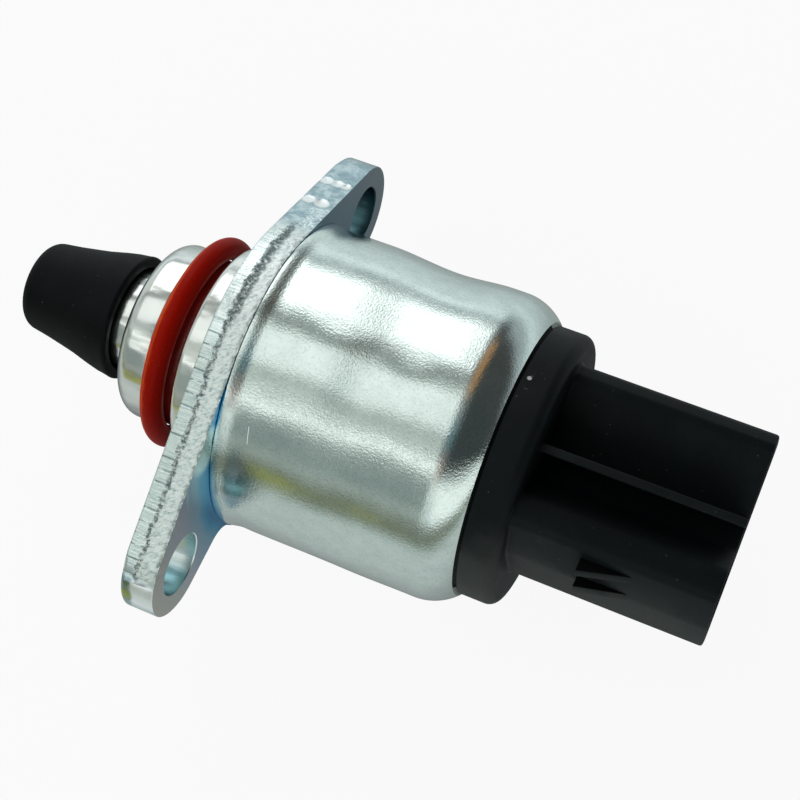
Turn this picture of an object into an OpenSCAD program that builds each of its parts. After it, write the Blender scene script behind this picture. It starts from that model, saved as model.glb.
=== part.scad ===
// Idle air control valve. A small two-phase stepping motor turns a nut, and the
// nut draws a lead screw with a hollow pintle on its end in and out of the
// throttle body's bypass seat. The flange bolts to the throttle body.
//
// X runs along the valve, from the pintle (-) to the connector (+). Z is up.
// The origin is the middle of the two fixing holes, on the mounting face.

/* [Flange] */
// Thickness of the stamped plate
flange_t = 3.8; // [3:0.1:5]
// Width of plate left outside the can's lip
disc_rim = 0.15; // [0.1:0.05:1]
// Distance between the two fixing holes
bolt_spacing = 45; // [43.5:0.5:50]
// Diameter of each fixing hole
bolt_hole_d = 6.8; // [5:0.1:7]
// Width of plate left around each hole
hole_rim = 2.4; // [1.6:0.1:2.8]
// Distance of the valve's axis to the side of the holes' middle
axis_side = 1.9; // [0:0.1:2.5]
// Distance of the valve's axis below the line through the holes
axis_drop = 1.9; // [0.5:0.1:2.5]
// Fillet where the lower edges run into the round middle
flange_fillet = 3; // [1:0.5:4]

/* [Nose] */
// Diameter of the pilot that fills the throttle body's bore
pilot_d = 24.2; // [23:0.1:24.4]
// Length of the pilot in front of the flange
pilot_l = 4.2; // [3:0.1:6]
// Step from the pilot down to the nose
nose_step = 2; // [1.6:0.1:2.3]
// Length of the nose in front of the seal groove
nose_l = 3.9; // [3.4:0.1:6]
// Radius of the nose's rounded shoulder
nose_round = 1.8; // [1:0.1:2]
// Thickness of the seal's cord
seal_cord = 2.5; // [2.2:0.1:2.8]
// Height of the seal above the pilot
seal_proud = 0.15; // [0.1:0.05:0.4]
// Play of the seal along its groove
seal_play = 1.5; // [0.4:0.1:1.8]
// Wall of the guide tube, over which the pintle slides
tube_wall = 0.85; // [0.6:0.05:1.1]
// Clearance of the pintle over the guide tube
tube_play = 0.25; // [0.15:0.05:0.4]
// Reach of the guide tube into the drawn-in pintle
tube_entry = 0.8; // [0.4:0.1:0.8]
// Depth of the tube's wide bore behind the nose's face
mouth_depth = 3; // [1:0.1:3.5]

/* [Pintle] */
// Travel of the pintle
travel = 8; // [4:0.5:10]
// Gap between the drawn-in pintle and the nose
pintle_gap = 2.7; // [1:0.1:4]
// Length of the pintle
pintle_l = 12.3; // [12:0.1:14]
// Length of the flared skirt
skirt_l = 6.8; // [6:0.1:7]
// Length of solid plastic behind the tip
tip_l = 4.6; // [4:0.1:4.8]
// Diameter of the rim
rim_d = 14.4; // [14:0.1:15]
// Diameter where the seating cone meets the flared skirt
waist_d = 11.7; // [11.3:0.1:12.2]
// Diameter at the front of the seating cone
tip_d = 10.3; // [9.6:0.1:10.6]
// Radius that rounds the tip
tip_round = 1.4; // [0.8:0.1:2.4]
// Wall of the hollow skirt
skirt_wall = 1.2; // [0.8:0.1:1.4]
// Diameter of the lead screw
screw_d = 4; // [3:0.1:4.4]
// Depth of the flat along the lead screw
screw_flat = 0.5; // [0.3:0.1:0.8]

/* [Motor] */
// Outer diameter of the drawn can
can_d = 34.2; // [33.4:0.1:34.8]
// Thickness of the can's sheet
can_wall = 1; // [0.7:0.1:1.2]
// Height of the small lip at the can's front edge
can_lip = 0.25; // [0.1:0.05:0.4]
// Depth of the shallow waist around the can
can_waist = 0.3; // [0.1:0.05:0.4]
// Distance of the waist behind the flange
waist_start = 7; // [6:0.5:9]
// Bend radius of the can's crimped shoulder
crimp_r = 5.7; // [5:0.1:6.5]
// Angle through which the shoulder is crimped
crimp_angle = 47.5; // [40:0.5:50]
// Thickness of each pole cup
cup_t = 0.9; // [0.7:0.1:1.1]
// Number of claws on each pole cup
claws = 6; // [4:1:8]
// Length of each bobbin
bobbin_l = 6.6; // [5.5:0.1:7.5]
// Share of the windings' outer radius that their depth takes
winding_share = 0.32; // [0.3:0.01:0.36]
// Share of the magnet's radius that the nut fills
nut_share = 0.7; // [0.6:0.05:0.8]
// Air gap between the magnet and the claws
air_gap = 0.3; // [0.2:0.05:0.5]

/* [Bearing] */
// Outer diameter of the ball bearing
bearing_d = 13; // [12.4:0.1:13.4]
// Height of the ball bearing's section
bearing_section = 3; // [2.8:0.1:3.2]
// Width of the ball bearing
bearing_w = 3.5; // [3:0.1:4]
// Number of balls
balls = 8; // [6:1:9]

/* [Connector] */
// Step from the can down to the moulded ring behind it
ring_step = 2.1; // [1.6:0.1:2.4]
// Thickness of the ring
ring_t = 4; // [3:0.1:5]
// Radius that rounds the ring's rear edge
ring_round = 1.2; // [0.5:0.1:1.5]
// Length of the shroud behind the ring
shroud_l = 21; // [18:0.1:24]
// Wall of the shroud
shroud_wall = 1.35; // [1:0.05:1.6]
// Turn of the connector about the valve's axis
shroud_turn = 22.3; // [0:0.1:45]
// Reach of the shroud to its upper side
shroud_top = 11.7; // [11.2:0.1:12.6]
// Reach of the shroud to its lower side
shroud_bottom = 10.85; // [10.6:0.05:11.4]
// Reach of the shroud to its plain back
shroud_back = 8; // [7:0.1:8.4]
// Reach of the shroud's flat front face
shroud_front = 5; // [4.4:0.1:5.6]
// Reach of the lobe beside the flat face
lobe_reach = 13.4; // [12:0.1:13.6]
// Depth of the socket
socket_depth = 17.9; // [15:0.1:19]
// Thickness of the fin along the flat face
fin_t = 0.9; // [0.7:0.1:1.4]
// Height of the fin above the flat face
fin_h = 7.3; // [3:0.1:7.6]
// Length of each latch ramp
latch_l = 5; // [3:0.1:7]
// Height of each latch ramp
latch_h = 1.2; // [0.6:0.1:1.5]
// Thickness of each latch ramp
latch_t = 1.1; // [0.7:0.1:1.4]
// Distance between the two latch ramps
latch_pitch = 2.5; // [2:0.1:3]
// Distance of the latch ramps behind the ring
latch_start = 5; // [3:0.1:7]

/* [Terminals] */
// Distance between neighbouring blades
blade_pitch = 4.2; // [3.4:0.1:4.4]
// Width of each blade
blade_w = 1.5; // [1:0.1:2]
// Thickness of each blade
blade_t = 0.8; // [0.5:0.1:1]
// Distance of the blades' tips behind the socket's mouth
blade_recess = 6.4; // [4:0.1:9]

/* [Hidden] */
$fn = 96;

// Radial play of parts that turn or slide on each other
running_play = 0.05;
// Clearance of parts that are set beside each other
seat_gap = 0.1;
// Small chamfer on turned edges
edge = 0.3;

// Flange
axis_at = [0, axis_side, -axis_drop];
can_r = can_d / 2;
flange_r = can_r + can_lip + disc_rim;
lobe_r = bolt_hole_d / 2 + hole_rim;

// Nose, as stations along X in front of the mounting face
groove_rear = -pilot_l;
groove_front = groove_rear - seal_cord - seal_play;
nose_front = groove_front - nose_l;
pilot_r = pilot_d / 2;
nose_r = pilot_r - nose_step;
seal_x = groove_front + seal_cord / 2 + seat_gap;
seal_r = pilot_r + seal_proud;
groove_r = seal_r - seal_cord - seat_gap;

// Pintle, as stations along X
rim_x = nose_front - pintle_gap;
tip_x = rim_x - pintle_l;
rim_r = rim_d / 2;
rim_land = 0.8;
rim_step = 0.1;
flare_x = rim_x - skirt_l;
// Swell of the flared skirt: shares of its length, and depths below the rim
skirt_swell = [[0.5, 0.55], [0.7, 0.25]];
floor_fillet = 0.2;
cone_x = tip_x + tip_round;
skirt_floor = tip_x + tip_l;
boss_wall = 1.3;
boss_l = 3;
boss_r = screw_d / 2 + boss_wall;
boss_end = skirt_floor + boss_l;
screw_hold = 1.3;
screw_tip = skirt_floor - screw_hold;
flat_z = screw_d / 2 - screw_flat;
flat_spare = 2.5;
flat_end = travel + flat_spare;
spring_wire = 0.6;
spring_gap = 0.3;
spring_turns = 6;
bore_gap = 0.6;
nose_bore = boss_r + bore_gap;
tube_r = rim_r - skirt_wall - tube_play;
tube_x = rim_x - tube_entry;

// Motor stack, as stations along X behind the mounting face
bore_r = can_r - can_wall;
can_floor = flange_t + can_wall;
stack_front = can_floor + 2 * seat_gap;
half_stack = 2 * cup_t + bobbin_l;
cup_x = [
    stack_front,
    stack_front + cup_t + bobbin_l,
    stack_front + half_stack,
    stack_front + half_stack + cup_t + bobbin_l
];
bobbin_x = [cup_x[0] + cup_t, cup_x[2] + cup_t];
stack_rear = stack_front + 2 * half_stack;
stack_gap = 0.15;
stack_r = bore_r - stack_gap;
claw_t = 0.9;
claw_gap = 0.6;
claw_root = 3.4;
claw_tip = 1.8;
bobbin_wall = 0.85;
bobbin_rim = 0.7;
flange_web = 0.8;
bobbin_step = 0.6;
bobbin_r = stack_r - bobbin_step;
coil_r = bobbin_r - bobbin_rim;
bobbin_bore = coil_r * (1 - winding_share) - bobbin_wall;
claw_r = bobbin_bore - running_play - claw_t;
magnet_r = claw_r - air_gap;

// Rotor and its bearings
spigot_step = 3.1;
spigot_r = pilot_r - spigot_step;
journal_r = bearing_d / 2 - bearing_section;
nut_r = magnet_r * nut_share;
bush_wall = 2.45;
bush_r = journal_r + running_play + bush_wall;
front_bush_l = 4;
guide_bush_l = 4.3;
front_journal = 0.6;
shoulder_step = 0.9;
shoulder_r = journal_r + shoulder_step;
plate_t = 0.8;
plate_play = 0.5;
cap_front = stack_rear + plate_t;
bearing_inset = 1;
bearing_x = cap_front + bearing_inset;
bearing_rear = bearing_x + bearing_w;
washer_t = 0.6;
pocket_end = bearing_rear + washer_t;
pitch_r = (bearing_d - bearing_section) / 2;
ball_d = bearing_section * 2 / 3;
race_land = ball_d * 0.3;
cage_lap = 0.35;
screw_spare = 2;
screw_end = bearing_rear - travel + screw_spare;

// Connector cap
land_l = 3.4;
crimp_x = cap_front + land_l;
crimp_end = crimp_x + crimp_r * sin(crimp_angle);
crimp_mid = can_r - crimp_r;
under_r = crimp_mid + (crimp_r - can_wall) * cos(crimp_angle);
ring_front = crimp_end + stack_gap;
ring_rear = ring_front + ring_t;
ring_r = can_r - ring_step;
neck_under = under_r - seat_gap;
shroud_end = ring_rear + shroud_l;
socket_floor = shroud_end - socket_depth;
cord_r = 0.9;
cord_play = 0.4;
groove_land = 0.8;
cap_groove = [cap_front + groove_land, cap_front + groove_land + 2 * cord_r + cord_play];
blade_row = (shroud_front - shroud_back) / 2;
cap_web = 3;
strip_x = pocket_end + cap_web;
tail_inset = 4.35;
tail_row = tail_inset - stack_r;
blade_tip = shroud_end - blade_recess;

// Shroud seen from behind: across the row of blades, then towards the lobe.
// Each corner carries the radius that rounds it.
lobe_slope = 4.8;
shroud_corners = [
    [shroud_top, -shroud_back, 3],
    [shroud_top, shroud_front, 2],
    [shroud_top - 1.4, shroud_front + 1.9, 1],
    [2.4, shroud_front, 1.5],
    [-0.6, shroud_front + 2.2, 2],
    [-2.6, lobe_reach - 0.1, 2],
    [-5.4, lobe_reach, 1.6],
    [-8.6, lobe_reach - lobe_slope, 4],
    [-shroud_bottom, 1.5, 4],
    [-shroud_bottom, -shroud_back, 3]
];
shroud_path = [for (c = shroud_corners) [c.x, c.y]];
shroud_radii = [for (c = shroud_corners) c.z];

// Which way each corner bends: 1 outwards, -1 inwards
function bend(path, i) =
    let (
        n = len(path),
        a = path[i] - path[(i + n - 1) % n],
        b = path[(i + 1) % n] - path[i]
    )
    sign(a.x * b.y - a.y * b.x);

function unit(v) = v / norm(v);

// A closed path moved inwards by d, corner by corner
function inset(path, d) =
    let (n = len(path))
    [
        for (i = [0:n - 1])
        let (
            a = unit(path[i] - path[(i + n - 1) % n]),
            b = unit(path[(i + 1) % n] - path[i]),
            na = [-a.y, a.x],
            nb = [-b.y, b.x]
        )
        path[i] + (na + nb) * d / (1 + na * nb)
    ];

// The radii of a path that was moved inwards by d
function inset_radii(path, radii, d) = [
    for (i = [0:len(path) - 1]) max(0.3, radii[i] - bend(path, i) * d)
];

// The arc that rounds corner b between a and c
function corner_arc(a, b, c, r, n) =
    let (
        u = unit(a - b),
        v = unit(c - b),
        half = acos(u * v) / 2,
        mid = b + unit(u + v) * r / sin(half),
        from = b + u * r / tan(half) - mid,
        to = b + v * r / tan(half) - mid,
        a0 = atan2(from.y, from.x),
        sweep = (atan2(to.y, to.x) - a0 + 540) % 360 - 180
    )
    [for (i = [0:n]) mid + r * [cos(a0 + sweep * i / n), sin(a0 + sweep * i / n)]];

function rounded(path, radii, n = 5) =
    let (m = len(path))
    [
        for (i = [0:m - 1])
        each corner_arc(path[(i + m - 1) % m], path[i], path[(i + 1) % m], radii[i], n)
    ];

// Points of an arc about (x, r), from angle a0 to a1
function arc(x, r, radius, a0, a1, n = 8) = [
    for (i = [0:n])
    let (a = a0 + (a1 - a0) * i / n)
    [x + radius * cos(a), r + radius * sin(a)]
];

// Puts a piece on the valve's axis
module on_axis() {
    translate(axis_at)
        children();
}

// Turns a profile of [x, radius] points about the X axis
module turned(profile) {
    rotate([0, 90, 0])
        rotate_extrude()
            polygon([for (p = profile) [p.y, p.x]]);
}

// A plain ring between two stations
module ring(x0, x1, inner, outer) {
    turned([[x0, inner], [x0, outer], [x1, outer], [x1, inner]]);
}

// Extrudes an outline seen from behind, [side, up], between two stations
module along_x(x0, x1) {
    translate([x0, 0, 0])
        rotate([90, 0, 90])
            linear_extrude(x1 - x0)
                children();
}

// The connector's own frame: X along the valve, Y across the row of blades
module connector_frame() {
    on_axis()
        rotate([shroud_turn, 0, 0])
            children();
}

// The flange's outline. On each side a straight tangent joins the lobe to the
// upper half of the round middle, and a fillet eases the lower edge into it.
module flange_outline() {
    middle = [axis_side, -axis_drop];
    lobes = [[bolt_spacing / 2, 0], [-bolt_spacing / 2, 0]];
    spans = [for (lobe = lobes) lobe - middle];
    leans = [for (span = spans) acos((flange_r - lobe_r) / norm(span))];
    right = atan2(spans[0].y, spans[0].x) + leans[0];
    left = atan2(spans[1].y, spans[1].x) - leans[1];
    drop = flange_fillet + lobe_r - axis_drop;
    reach = sqrt(pow(flange_r + flange_fillet, 2) - drop * drop);
    dip = atan2(drop, reach);
    difference() {
        polygon(concat(
            arc(lobes[0].x, 0, lobe_r, -90, right, 24),
            arc(middle.x, middle.y, flange_r, right, left, 20),
            arc(lobes[1].x, 0, lobe_r, left, 270, 24),
            arc(middle.x - reach, middle.y - drop, flange_fillet, 90, dip),
            arc(middle.x, middle.y, flange_r, 180 + dip, 360 - dip, 40),
            arc(middle.x + reach, middle.y - drop, flange_fillet, 180 - dip, 90)
        ));
        for (lobe = lobes)
            translate(lobe)
                circle(d = bolt_hole_d);
    }
}

module mounting_flange() {
    color("lightsteelblue")
        difference() {
            along_x(0, flange_t)
                flange_outline();
            on_axis()
                ring(-1, flange_t + 1, 0, spigot_r);
        }
}

// Turned nose: guide tube, rounded shoulder, seal groove, pilot and spigot
module nose_housing() {
    mouth_r = tube_r - tube_wall;
    color("silver")
        on_axis()
            turned(concat(
                [
                    [tube_x, mouth_r],
                    [tube_x, tube_r - edge],
                    [tube_x + edge, tube_r],
                    [nose_front, tube_r],
                    [nose_front, nose_r - nose_round]
                ],
                arc(nose_front + nose_round, nose_r - nose_round, nose_round, 170, 90),
                [
                    [groove_front, nose_r],
                    [groove_front, groove_r],
                    [groove_rear, groove_r],
                    [groove_rear, pilot_r - edge],
                    [groove_rear + edge, pilot_r],
                    [0, pilot_r],
                    [0, spigot_r],
                    [can_floor, spigot_r],
                    [can_floor, bush_r],
                    [0, bush_r],
                    [0, nose_bore],
                    [nose_front + mouth_depth, nose_bore],
                    [nose_front + mouth_depth, mouth_r]
                ]
            ));
}

module nose_seal() {
    color("orangered")
        on_axis()
            translate([seal_x, 0, 0])
                rotate([0, 90, 0])
                    rotate_extrude()
                        translate([seal_r - seal_cord / 2, 0])
                            circle(d = seal_cord);
}

// Keeps the lead screw from turning: its bore has a flat
module guide_bush() {
    color("burlywood")
        on_axis()
            difference() {
                ring(-guide_bush_l, 0, 0, nose_bore);
                difference() {
                    ring(-2 * guide_bush_l, guide_bush_l, 0, screw_d / 2 + running_play);
                    translate([-3 * guide_bush_l, -screw_d, flat_z + running_play])
                        cube([5 * guide_bush_l, 2 * screw_d, screw_d]);
                }
            }
}

// Carries the front journal of the rotor
module front_bush() {
    color("goldenrod")
        on_axis()
            ring(0, front_bush_l, journal_r + running_play, bush_r);
}

// Hollow pintle: rounded tip, seating cone, flared skirt and rim
module pintle() {
    color([0.1, 0.1, 0.12])
        on_axis()
            turned(concat(
                [[tip_x, 0]],
                arc(cone_x, tip_d / 2 - tip_round, tip_round, 180, 95),
                [
                    [flare_x, waist_d / 2],
                    for (s = skirt_swell) [flare_x + skirt_l * s[0], rim_r - s[1]],
                    [rim_x - rim_land, rim_r - rim_step],
                    [rim_x - rim_land / 2, rim_r],
                    [rim_x - edge, rim_r],
                    [rim_x, rim_r - edge],
                    [rim_x, rim_r - skirt_wall],
                    [rim_x - rim_land, rim_r - skirt_wall],
                    [flare_x, waist_d / 2 - skirt_wall],
                    [skirt_floor, tip_d / 2 - skirt_wall + floor_fillet],
                    [skirt_floor, boss_r],
                    [boss_end, boss_r],
                    [boss_end, screw_d / 2],
                    [screw_tip, screw_d / 2],
                    [screw_tip, 0]
                ]
            ));
}

// Presses the pintle forward, so that the screw has no backlash
module pintle_spring() {
    wire_r = spring_wire / 2;
    coil = screw_d / 2 + spring_gap + wire_r;
    x0 = boss_end + wire_r;
    x1 = -guide_bush_l - wire_r;
    steps = 12;
    sides = 6;
    last = spring_turns * steps;
    points = [
        for (i = [0:last], k = [0:sides - 1])
        let (
            a = 360 * i / steps,
            b = 360 * k / sides,
            r = coil + wire_r * cos(b)
        )
        [x0 + (x1 - x0) * i / last + wire_r * sin(b), r * cos(a), r * sin(a)]
    ];
    walls = [
        for (i = [0:last - 1], k = [0:sides - 1])
        let (
            a = i * sides + k,
            b = i * sides + (k + 1) % sides
        )
        [a, b, b + sides, a + sides]
    ];
    ends = [
        [for (k = [sides - 1:-1:0]) k],
        [for (k = [0:sides - 1]) last * sides + k]
    ];
    color("gainsboro")
        on_axis()
            polyhedron(points, concat(walls, ends));
}

// The screw doesn't turn: its flat runs through the guide over the whole travel
module lead_screw() {
    color("gray")
        on_axis()
            difference() {
                turned([
                    [screw_tip, 0],
                    [screw_tip, screw_d / 2],
                    [screw_end - edge, screw_d / 2],
                    [screw_end, screw_d / 2 - edge],
                    [screw_end, 0]
                ]);
                translate([boss_end + edge, -screw_d, flat_z])
                    cube([flat_end - boss_end - edge, 2 * screw_d, screw_d]);
            }
}

// Nut with a journal at each end, which carries the magnet
module rotor_nut() {
    magnet_front = stack_front + edge;
    color("whitesmoke")
        on_axis()
            turned([
                [front_journal, screw_d / 2 + running_play],
                [front_journal, journal_r - edge],
                [front_journal + edge, journal_r],
                [magnet_front - seat_gap, journal_r],
                [magnet_front - seat_gap, nut_r],
                [stack_rear - seat_gap, nut_r],
                [stack_rear - seat_gap, shoulder_r],
                [bearing_x, shoulder_r],
                [bearing_x, journal_r],
                [bearing_rear, journal_r],
                [bearing_rear, screw_d / 2 + running_play]
            ]);
}

module rotor_magnet() {
    x0 = stack_front + edge;
    x1 = stack_rear - edge;
    color("dimgray")
        on_axis()
            turned([
                [x0, nut_r],
                [x0, magnet_r - edge],
                [x0 + edge, magnet_r],
                [x1 - edge, magnet_r],
                [x1, magnet_r - edge],
                [x1, nut_r]
            ]);
}

// Drawn can with a floor, a shallow waist and a shoulder crimped over the cap
module motor_can() {
    lip_end = flange_t + 0.6;
    waist_from = flange_t + waist_start;
    waist_to = crimp_x - 1;
    steps = 10;
    color("lightgray")
        on_axis()
            turned(concat(
                [
                    [flange_t, spigot_r],
                    [flange_t, can_r + can_lip],
                    [lip_end, can_r + can_lip],
                    [lip_end + can_lip, can_r]
                ],
                [
                    for (i = [0:steps])
                    [
                        waist_from + (waist_to - waist_from) * i / steps,
                        can_r - can_waist * (1 - cos(360 * i / steps)) / 2
                    ]
                ],
                arc(crimp_x, crimp_mid, crimp_r, 90, 90 - crimp_angle),
                arc(crimp_x, crimp_mid, crimp_r - can_wall, 90 - crimp_angle, 90),
                [
                    [can_floor, bore_r],
                    [can_floor, spigot_r]
                ]
            ));
}

// Gap between two claws that are this wide, across the middle of their sheet
function claw_space(width) =
    let (r = claw_r + claw_t / 2)
    2 * r * sin(180 / claws - asin(width / 2 / r));

// Disc with a drawn rim, slotted into tapering claws
module cup_with_claws() {
    reach = cup_t + bobbin_l - claw_gap;
    root = cup_t + 0.2;
    at_root = claw_space(claw_root) / 2;
    at_tip = claw_space(claw_tip) / 2;
    past_tip = at_tip + (at_tip - at_root) / (reach - root);
    difference() {
        rotate_extrude()
            polygon([
                [claw_r, 0],
                [stack_r, 0],
                [stack_r, cup_t],
                [claw_r + claw_t, cup_t],
                [claw_r + claw_t, reach],
                [claw_r, reach]
            ]);
        for (i = [0:claws - 1])
            rotate([0, 0, 360 * (i + 0.5) / claws])
                translate([claw_r / 2, 0, 0])
                    rotate([90, 0, 90])
                        linear_extrude(claw_r)
                            polygon([
                                [-at_root, root],
                                [at_root, root],
                                [past_tip, reach + 1],
                                [-past_tip, reach + 1]
                            ]);
    }
}

// Claw-pole cup. The two cups of a phase face each other, their claws in mesh,
// and the second phase stands a quarter of a pole pair on from the first.
module pole_cup(index, forward, notched = false) {
    phase = (index > 1 ? 90 / claws : 0) + (forward ? 0 : 180 / claws);
    color("slategray")
        on_axis()
            difference() {
                translate([cup_x[index] + (forward ? 0 : cup_t), 0, 0])
                    rotate([0, forward ? 90 : -90, 0])
                        rotate([0, 0, forward ? phase : -phase])
                            cup_with_claws();
                if (notched)
                    terminal_notch();
            }
}

module pole_cup_1() {
    pole_cup(0, true);
}

module pole_cup_2() {
    pole_cup(1, false);
}

module pole_cup_3() {
    pole_cup(2, true);
}

module pole_cup_4() {
    pole_cup(3, false, true);
}

// Block on the rear bobbin that carries the tails of the terminals
module terminal_block(grow) {
    beside = 0.6;
    above = 0.5;
    width = 3 * blade_pitch + blade_w + 2 * (beside + grow);
    height = blade_t + 2 * (above + grow);
    rotate([shroud_turn, 0, 0])
        translate([bobbin_x[1] + bobbin_l - flange_web, -width / 2, tail_row - height / 2])
            cube([cap_front - bobbin_x[1] - bobbin_l + flange_web + 2 * grow, width, height]);
}

module terminal_notch() {
    terminal_block(seat_gap);
}

module bobbin(x) {
    turned([
        [x, bobbin_bore],
        [x, bobbin_r],
        [x + flange_web, bobbin_r],
        [x + flange_web, bobbin_bore + bobbin_wall],
        [x + bobbin_l - flange_web, bobbin_bore + bobbin_wall],
        [x + bobbin_l - flange_web, bobbin_r],
        [x + bobbin_l, bobbin_r],
        [x + bobbin_l, bobbin_bore]
    ]);
}

module bobbin_front() {
    color("ivory")
        on_axis()
            bobbin(bobbin_x[0]);
}

module bobbin_rear() {
    color("ivory")
        on_axis() {
            bobbin(bobbin_x[1]);
            terminal_block(0);
        }
}

module winding(x) {
    ring(x + flange_web, x + bobbin_l - flange_web, bobbin_bore + bobbin_wall, coil_r);
}

module winding_front() {
    color("chocolate")
        on_axis()
            winding(bobbin_x[0]);
}

module winding_rear() {
    color("chocolate")
        on_axis()
            winding(bobbin_x[1]);
}

// Closes the stator behind the rear cup
module bearing_plate() {
    color("slategray")
        on_axis()
            difference() {
                ring(stack_rear, cap_front, shoulder_r + plate_play, stack_r);
                terminal_notch();
            }
}

// Ball track shared by both races
module ball_track() {
    translate([bearing_x + bearing_w / 2, 0, 0])
        rotate([0, 90, 0])
            rotate_extrude()
                translate([pitch_r, 0])
                    circle(d = ball_d + running_play);
}

module bearing_inner_race() {
    color("silver")
        on_axis()
            difference() {
                ring(bearing_x, bearing_rear, journal_r, pitch_r - race_land);
                ball_track();
            }
}

module bearing_outer_race() {
    color("silver")
        on_axis()
            difference() {
                ring(bearing_x, bearing_rear, pitch_r + race_land, bearing_d / 2);
                ball_track();
            }
}

module ball_ring(diameter) {
    for (i = [0:balls - 1])
        rotate([360 * i / balls, 0, 0])
            translate([bearing_x + bearing_w / 2, 0, pitch_r])
                sphere(d = diameter, $fn = 32);
}

module bearing_balls() {
    color("white")
        on_axis()
            ball_ring(ball_d);
}

module bearing_cage() {
    half_w = ball_d / 2 + cage_lap;
    half_t = race_land - seat_gap;
    mid = bearing_x + bearing_w / 2;
    color("khaki")
        on_axis()
            difference() {
                ring(mid - half_w, mid + half_w, pitch_r - half_t, pitch_r + half_t);
                ball_ring(ball_d + 2 * running_play);
            }
}

// Cone washer that holds the bearing without play
module preload_washer() {
    outer = bearing_d / 2 - seat_gap;
    inner = pitch_r + race_land;
    sheet = washer_t / 2;
    color("silver")
        on_axis()
            turned([
                [bearing_rear, outer],
                [bearing_rear + sheet, outer],
                [pocket_end, inner],
                [pocket_end - sheet, inner]
            ]);
}

// Outline of the shroud, moved inwards by d
module shroud_outline(d = 0) {
    polygon(rounded(
        inset(shroud_path, d),
        inset_radii(shroud_path, shroud_radii, d)
    ));
}

// Thin fin that stands on the flat face, beside the valley
module shroud_fin() {
    x0 = 1.9;
    sink = 0.5;
    nip = 0.2;
    top = shroud_front + fin_h;
    polygon([
        [x0, shroud_front - sink],
        [x0 + fin_t, shroud_front - sink],
        [x0 + fin_t, top - nip],
        [x0 + fin_t - nip, top],
        [x0 + nip, top],
        [x0, top - nip]
    ]);
}

// Two wedges that hold the plug's latch, on the slope below the lobe
module latch_ramps() {
    top = shroud_path[6];
    low = shroud_path[7];
    slope = unit(low - top);
    sink = 0.4;
    first = 1.75;
    crest = latch_l * 0.2;
    for (i = [0, 1]) {
        foot = top + slope * (first + latch_pitch * i);
        translate([ring_rear + latch_start, foot.x, foot.y])
            rotate([atan2(-slope.y, -slope.x), 0, 0])
                translate([0, latch_t / 2, 0])
                    rotate([90, 0, 0])
                        linear_extrude(latch_t)
                            polygon([
                                [0, -sink],
                                [0, latch_h - edge],
                                [edge, latch_h],
                                [crest, latch_h],
                                [latch_l, 0],
                                [latch_l, -sink]
                            ]);
    }
}

// Moulded end cap: land inside the can, ring behind it and the plug's shroud
module connector_cap() {
    sink = 1;
    foot = 0.25;
    color([0.12, 0.12, 0.14])
        difference() {
            union() {
                on_axis()
                    turned(concat(
                        [
                            [cap_front, bearing_d / 2 + running_play],
                            [cap_front, bore_r - running_play - edge],
                            [cap_front + edge, bore_r - running_play],
                            [cap_groove[0], bore_r - running_play],
                            [cap_groove[0], bore_r - 2 * cord_r],
                            [cap_groove[1], bore_r - 2 * cord_r],
                            [cap_groove[1], bore_r - running_play]
                        ],
                        arc(
                            crimp_x, crimp_mid, crimp_r - can_wall - running_play,
                            90, 90 - crimp_angle
                        ),
                        [
                            [ring_front, neck_under],
                            [ring_front, ring_r]
                        ],
                        arc(ring_rear - ring_round, ring_r - ring_round, ring_round, 90, 0, 5),
                        [
                            [ring_rear, 0],
                            [pocket_end, 0],
                            [pocket_end, bearing_d / 2 + running_play]
                        ]
                    ));
                connector_frame() {
                    along_x(ring_rear - sink, shroud_end) {
                        shroud_outline();
                        shroud_fin();
                    }
                    along_x(ring_rear - sink, ring_rear + foot)
                        shroud_outline(-foot);
                    latch_ramps();
                }
            }
            connector_frame() {
                along_x(socket_floor, shroud_end + 1)
                    shroud_outline(shroud_wall);
                for (i = [0:3])
                    terminal_solid(i);
            }
        }
}

// Seals the cap in the can
module cap_seal() {
    color("black")
        on_axis()
            translate([(cap_groove[0] + cap_groove[1]) / 2, 0, 0])
                rotate([0, 90, 0])
                    rotate_extrude()
                        translate([bore_r - cord_r, 0])
                            circle(r = cord_r);
}

// Blade in the socket, strip across the cap and tail to the rear bobbin
module terminal_solid(index) {
    side = (index - 1.5) * blade_pitch;
    translate([0, side, 0]) {
        translate([strip_x, 0, blade_row - blade_t / 2])
            linear_extrude(blade_t)
                polygon([
                    [0, -blade_w / 2],
                    [blade_tip - strip_x - 1, -blade_w / 2],
                    [blade_tip - strip_x, -blade_w / 5],
                    [blade_tip - strip_x, blade_w / 5],
                    [blade_tip - strip_x - 1, blade_w / 2],
                    [0, blade_w / 2]
                ]);
        translate([strip_x, -blade_w / 2, tail_row - blade_t / 2])
            cube([blade_t, blade_w, blade_row - tail_row + blade_t]);
        translate([cap_front, -blade_w / 2, tail_row - blade_t / 2])
            cube([strip_x - cap_front + blade_t, blade_w, blade_t]);
    }
}

module terminal(index) {
    color("gold")
        connector_frame()
            terminal_solid(index);
}

module terminal_1() {
    terminal(0);
}

module terminal_2() {
    terminal(1);
}

module terminal_3() {
    terminal(2);
}

module terminal_4() {
    terminal(3);
}

mounting_flange();
nose_housing();
nose_seal();
guide_bush();
front_bush();
pintle();
pintle_spring();
lead_screw();
rotor_nut();
rotor_magnet();
motor_can();
pole_cup_1();
pole_cup_2();
pole_cup_3();
pole_cup_4();
bobbin_front();
bobbin_rear();
winding_front();
winding_rear();
bearing_plate();
bearing_inner_race();
bearing_outer_race();
bearing_balls();
bearing_cage();
preload_washer();
connector_cap();
cap_seal();
terminal_1();
terminal_2();
terminal_3();
terminal_4();
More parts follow.
